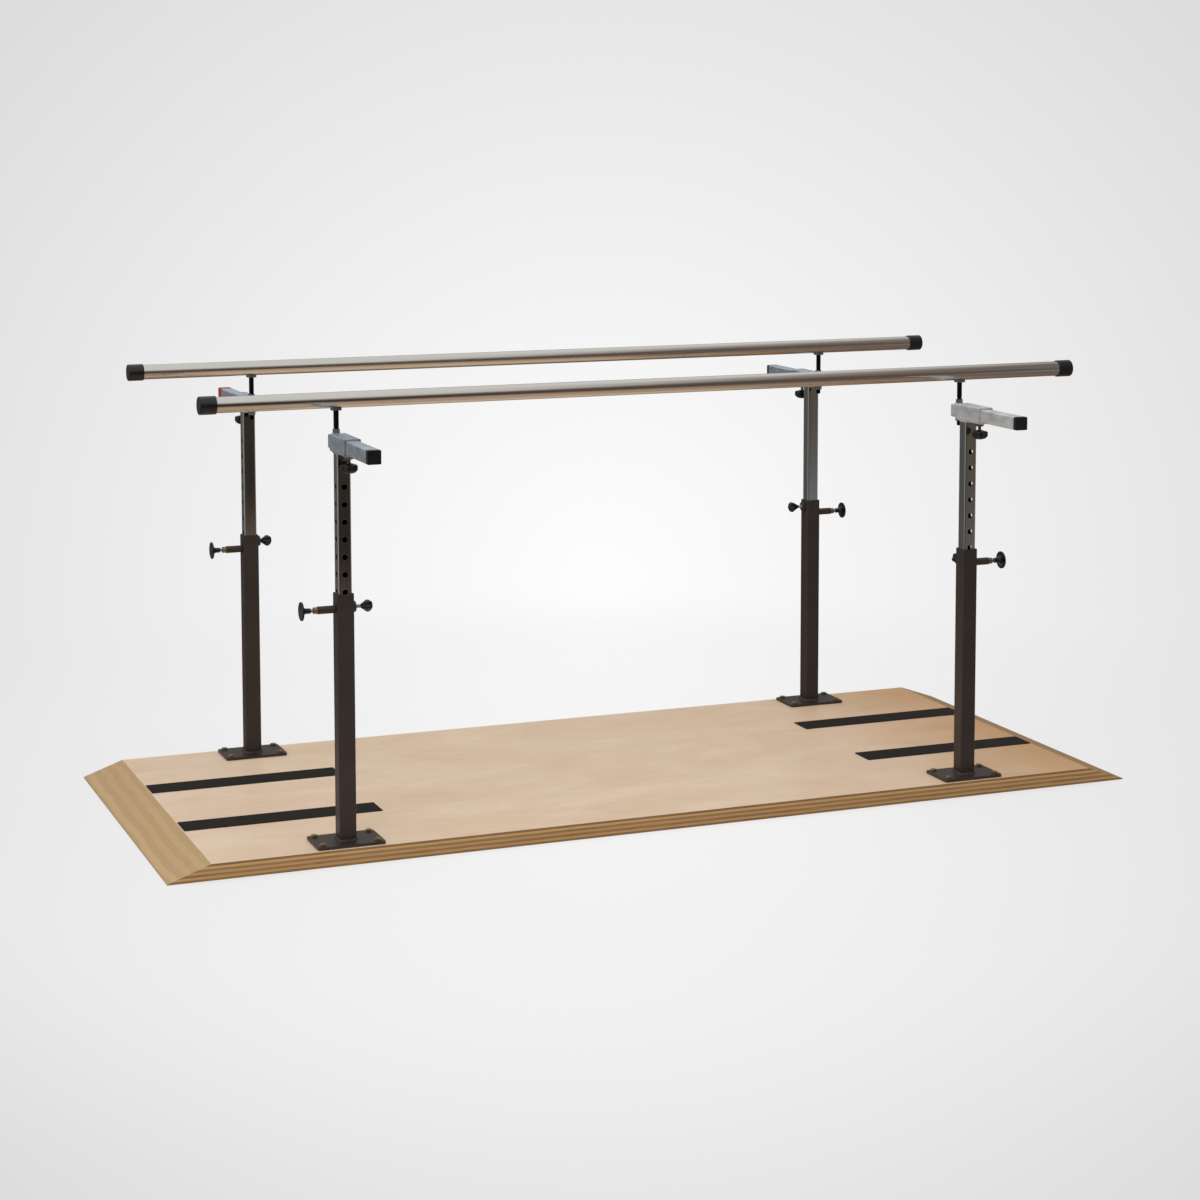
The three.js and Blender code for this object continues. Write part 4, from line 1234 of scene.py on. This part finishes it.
# The stage: each soft lamp's place, the point that it aims at, and its width and depth
LAMPS = {
    "key": ((-0.3, 0.0, 4.4), (-0.3, 0.05, 0), (7.0, 6.5)),
    "fill": ((-3.0, -3.6, 2.0), (0, 0, 0.5), (3.2, 2.4)),
}
# The backdrop's painted pool of light is brightest behind this point
BACKDROP_MIDDLE = Vector((0, 0, 0.47))
# Painted reflections: shades of a room all round, in degrees from the back by way of the left-hand end
PAINTED_REFLECTION_SHADES = [
    (0, "#5f6163"), (35, "#5f6163"), (50, "#a8a29b"), (80, "#c0bab2"), (130, "#90877d"), (165, "#34302d"),
    (186, "#302c29"), (196, "#5b4d42"), (208, "#675a4f"), (214, "#63594f"), (219, "#858b92"),
    (240, "#857b72"), (270, "#a89f95"), (320, "#6e665f"), (345, "#6a625b")]
# The room's reflected floor has a painted pool of light round this point, turns brown with distance, and then
# takes on the room's shades
PAINTED_LIGHT_SPOT = (-0.3, -0.8, 0)
LIT_TO, BROWN_FROM, BROWN_TO = 0.5, 2.1, 3.1
# The painted room's shades give way to its pale upper part between these shares of its radius
RISE_SHARES = 0.14, 0.84
# Painted reflections dim in the directions that lean this way
DIM_LEAN = (1, -0.14, 0)


class BARS_OT_studio(bpy.types.Operator):
    """Set the pale floor, the soft lamps and the camera"""
    bl_idname = "bars.studio"
    bl_label = "Studio"

    def execute(self, context):
        scene = context.scene
        scene.view_settings.view_transform = "Standard"
        self.camera(scene)
        self.floor()
        self.room()
        self.sky(scene)
        for name in LAMPS:
            self.lamp(scene, name)
        return {"FINISHED"}

    @staticmethod
    def camera(scene):
        studio = settings().studio
        data = bpy.data.cameras.new("camera")
        data.lens, data.sensor_width, data.shift_y = studio.lens, studio.sensor, studio.shift
        camera = bpy.data.objects.new("camera", data)
        scene.collection.objects.link(camera)
        level = math.cos(studio.pitch)
        forward = Vector((
            math.sin(studio.yaw) * level, math.cos(studio.yaw) * level, -math.sin(studio.pitch)))
        aim = forward.to_track_quat("-Z", "Y").to_matrix().to_4x4()
        lean = Matrix.Rotation(studio.roll, 4, "Z")
        camera.matrix_world = Matrix.Translation(studio.camera_place) @ aim @ lean
        scene.camera = camera

    @staticmethod
    def stage_piece(name, shape, material):
        mesh = as_mesh(name, shape)
        mesh.materials.append(material)
        piece = shown(name, mesh)
        return piece

    @staticmethod
    def backdrop_shade(tree, direction):
        """The backdrop's colour in a direction, with a painted pool of light: brightest behind the middle of
        the object, greyer around.
        """
        studio = settings().studio
        middle = (BACKDROP_MIDDLE - Vector(studio.camera_place)).normalized()
        cosine = add_node(tree, "VectorMath", {0: direction, 1: middle}, operation="DOT_PRODUCT")
        off_middle = add_node(tree, "Math", {0: cosine}, operation="ARCCOSINE")
        part = add_node(tree, "Math", {0: off_middle, 1: 4 * studio.backdrop_reach}, operation="DIVIDE")
        return add_node(tree, "ValToRGB", {"Fac": part}, [
            (0.0, studio.backdrop), (0.25, studio.backdrop_edge), (0.33, studio.backdrop_edge),
            (0.7, studio.backdrop_far)])

    @staticmethod
    def dim_reflection_right(tree, direction, pale, amount=1.0):
        """A pale shade, with a painted darker, browner reflection in the directions that lean to the right.
        """
        lean = add_node(tree, "VectorMath", {0: direction, 1: DIM_LEAN}, operation="DOT_PRODUCT")
        over = add_node(
            tree, "MapRange", {"Value": lean, "From Min": 0.36, "From Max": 0.55},
            interpolation_type="SMOOTHSTEP")
        part = add_node(tree, "Math", {0: over, 1: amount}, operation="MULTIPLY")
        return add_node(
            tree, "Mix", {"Factor": part, "A": pale, "B": settings().studio.room_painted_dim}, data_type="RGBA")

    def floor(self):
        """A pale disc that keeps the object's shadow and fades into the backdrop."""
        studio = settings().studio
        shape = bmesh.new()
        bmesh.ops.create_circle(shape, cap_ends=True, segments=96, radius=studio.floor_radius)
        material = bpy.data.materials.new("Pale studio floor")
        material.use_nodes = True
        tree = material.node_tree
        shader = tree.nodes["Principled BSDF"]
        set_sockets(shader, {"Base Color": studio.floor, "Roughness": 0.9, "Specular IOR Level": 0.1})
        place = add_node(tree, "TexCoord").outputs["Object"]
        away = add_node(tree, "VectorMath", {0: place}, operation="LENGTH")
        solid_to, gone_from = studio.floor_solid, studio.floor_radius
        fade = add_node(
            tree, "MapRange", {"Value": away, "From Min": solid_to, "From Max": gone_from},
            interpolation_type="SMOOTHSTEP")
        # For camera rays the floor partly glows with the backdrop's painted shade, over which the shadow
        # still shows
        sight = add_node(tree, "VectorMath", {0: place, 1: studio.camera_place}, operation="SUBTRACT")
        ray = add_node(tree, "VectorMath", {0: sight}, operation="NORMALIZE")
        glow = add_node(tree, "Emission", {"Color": self.backdrop_shade(tree, ray)})
        seen = add_node(tree, "LightPath").outputs["Is Camera Ray"]
        part = add_node(tree, "Math", {0: seen, 1: studio.floor_share}, operation="MULTIPLY")
        lit = add_node(tree, "MixShader", {0: part, 1: shader, 2: glow})
        mix = add_node(tree, "MixShader", {0: fade, 1: lit, 2: add_node(tree, "BsdfTransparent")})
        set_sockets(tree.nodes["Material Output"], {"Surface": mix})
        self.stage_piece("floor", shape, material)

    def room(self):
        """Painted reflections for polished metal: a glowing wall all round and a glowing floor, which only
        reflections meet.
        """
        radius = settings().studio.room_radius
        wall, ground = bmesh.new(), bmesh.new()
        bmesh.ops.create_cone(wall, segments=128, radius1=radius, radius2=radius, depth=radius)
        bmesh.ops.translate(wall, vec=(0, 0, radius / 2), verts=wall.verts)
        bmesh.ops.create_circle(ground, cap_ends=True, segments=128, radius=radius)
        bmesh.ops.translate(ground, vec=(0, 0, 0.5 * MM), verts=ground.verts)
        material = self.painted_reflection_room()
        for name, shape in (("room_wall", wall), ("room_floor", ground)):
            piece = self.stage_piece(name, shape, material)
            piece.visible_camera = piece.visible_diffuse = piece.visible_transmission = False
            piece.visible_volume_scatter = piece.visible_shadow = False

    def painted_reflection_room(self):
        """Painted reflections that glow without lighting anything: the room's shades all round, and a brown
        floor with a painted pool of light near by.
        """
        studio = settings().studio
        material = bpy.data.materials.new("Shades of the room")
        material.use_nodes = True
        material.cycles.emission_sampling = "NONE"
        tree = material.node_tree
        tree.nodes.clear()
        place = add_node(tree, "TexCoord").outputs["Object"]
        apart = add_node(tree, "SeparateXYZ", {"Vector": place})
        front = add_node(tree, "Math", {0: apart.outputs["Y"], 1: -1.0}, operation="MULTIPLY")
        turn = add_node(tree, "Math", {0: apart.outputs["X"], 1: front}, operation="ARCTAN2")
        part = add_node(tree, "MapRange", {"Value": turn, "From Min": -math.pi, "From Max": math.pi})
        stops = [(degrees / 360, linear(shade)) for degrees, shade in PAINTED_REFLECTION_SHADES]
        shades = add_node(tree, "ValToRGB", {"Fac": part}, stops)
        # Painted pool of light: the reflected floor is drawn lighter round one spot
        near = add_node(tree, "VectorMath", {0: place, 1: PAINTED_LIGHT_SPOT}, operation="DISTANCE")
        lit = add_node(tree, "MapRange", {"Value": near, "From Min": LIT_TO, "From Max": BROWN_FROM})
        ground = add_node(
            tree, "Mix", {"Factor": lit, "A": studio.room_painted_light, "B": studio.room_brown}, data_type="RGBA")
        far = add_node(tree, "MapRange", {"Value": near, "From Min": BROWN_FROM, "From Max": BROWN_TO})
        level = add_node(tree, "Mix", {"Factor": far, "A": ground, "B": shades}, data_type="RGBA")
        low, high = (studio.room_radius * rise_share for rise_share in RISE_SHARES)
        rise = add_node(
            tree, "MapRange", {"Value": apart.outputs["Z"], "From Min": low, "From Max": high},
            interpolation_type="SMOOTHSTEP")
        sight = add_node(tree, "VectorMath", {0: place}, operation="NORMALIZE")
        upper = self.dim_reflection_right(tree, sight, studio.room_upper)
        tone = add_node(tree, "Mix", {"Factor": rise, "A": level, "B": upper}, data_type="RGBA")
        add_node(tree, "OutputMaterial", {"Surface": add_node(tree, "Emission", {"Color": tone})})
        return material

    def sky(self, scene):
        """Even light from all round, with the backdrop's own colour where the camera and metal look, and for
        metal a painted darker reflection to the right.
        """
        world = bpy.data.worlds.new("studio")
        world.use_nodes = True
        tree = world.node_tree
        tree.nodes.clear()
        path = add_node(tree, "LightPath").outputs
        camera_ray, glossy_ray = path["Is Camera Ray"], path["Is Glossy Ray"]
        either = add_node(tree, "Math", {0: camera_ray, 1: glossy_ray}, operation="MAXIMUM")
        seen = add_node(tree, "Math", {0: either, 1: path["Is Transmission Ray"]}, operation="MAXIMUM")
        light = add_node(tree, "Background", {"Color": (1.0,) * 4, "Strength": settings().studio.sky})
        way = add_node(tree, "TexCoord").outputs["Generated"]
        # Painted reflection: glossy rays see the backdrop dimmed and browner to the right
        room = self.dim_reflection_right(tree, way, self.backdrop_shade(tree, way), glossy_ray)
        backdrop = add_node(tree, "Background", {"Color": room, "Strength": 1.0})
        mix = add_node(tree, "MixShader", {0: seen, 1: light, 2: backdrop})
        add_node(tree, "OutputWorld", {"Surface": mix})
        scene.world = world

    @staticmethod
    def lamp(scene, name):
        place, aim, reach = LAMPS[name]
        data = bpy.data.lights.new(name, "AREA")
        data.shape = "RECTANGLE"
        data.size, data.size_y = reach
        data.energy = getattr(settings().studio, name)
        lamp = bpy.data.objects.new(name, data)
        scene.collection.objects.link(lamp)
        lamp.visible_camera = lamp.visible_glossy = False
        lamp.location = place
        lamp.rotation_euler = (Vector(aim) - Vector(place)).to_track_quat("-Z", "Y").to_euler()


OPERATORS = [
    BARS_OT_studio, BARS_OT_platform, BARS_OT_grip_strips, BARS_OT_base_plates, BARS_OT_outer_tubes,
    BARS_OT_plungers, BARS_OT_tension_knobs, BARS_OT_posts, BARS_OT_sleeves, BARS_OT_arms,
    BARS_OT_width_knobs, BARS_OT_rail_studs, BARS_OT_rails]


class BARS_PT_panel(bpy.types.Panel):
    """Lists the pieces of the parallel bars"""
    bl_idname = "BARS_PT_panel"
    bl_label = "Walking parallel bars"
    bl_space_type = "VIEW_3D"
    bl_region_type = "UI"
    bl_category = "Parallel Bars"

    def draw(self, context):
        column = self.layout.column()
        for operator in OPERATORS:
            column.operator(operator.bl_idname)


CLASSES = [*SETTINGS, *OPERATORS, BARS_PT_panel]


def register():
    for cls in CLASSES:
        bpy.utils.register_class(cls)
    bpy.types.Scene.parallel_bars = PointerProperty(
        type=BarsSettings, name="Parallel bars", description="Sizes, colours and studio of the parallel bars")


def unregister():
    del bpy.types.Scene.parallel_bars
    for cls in reversed(CLASSES):
        bpy.utils.unregister_class(cls)


def main():
    register()
    for operator in OPERATORS:
        group, name = operator.bl_idname.split(".")
        getattr(getattr(bpy.ops, group), name)()


if __name__ == "__main__":
    main()
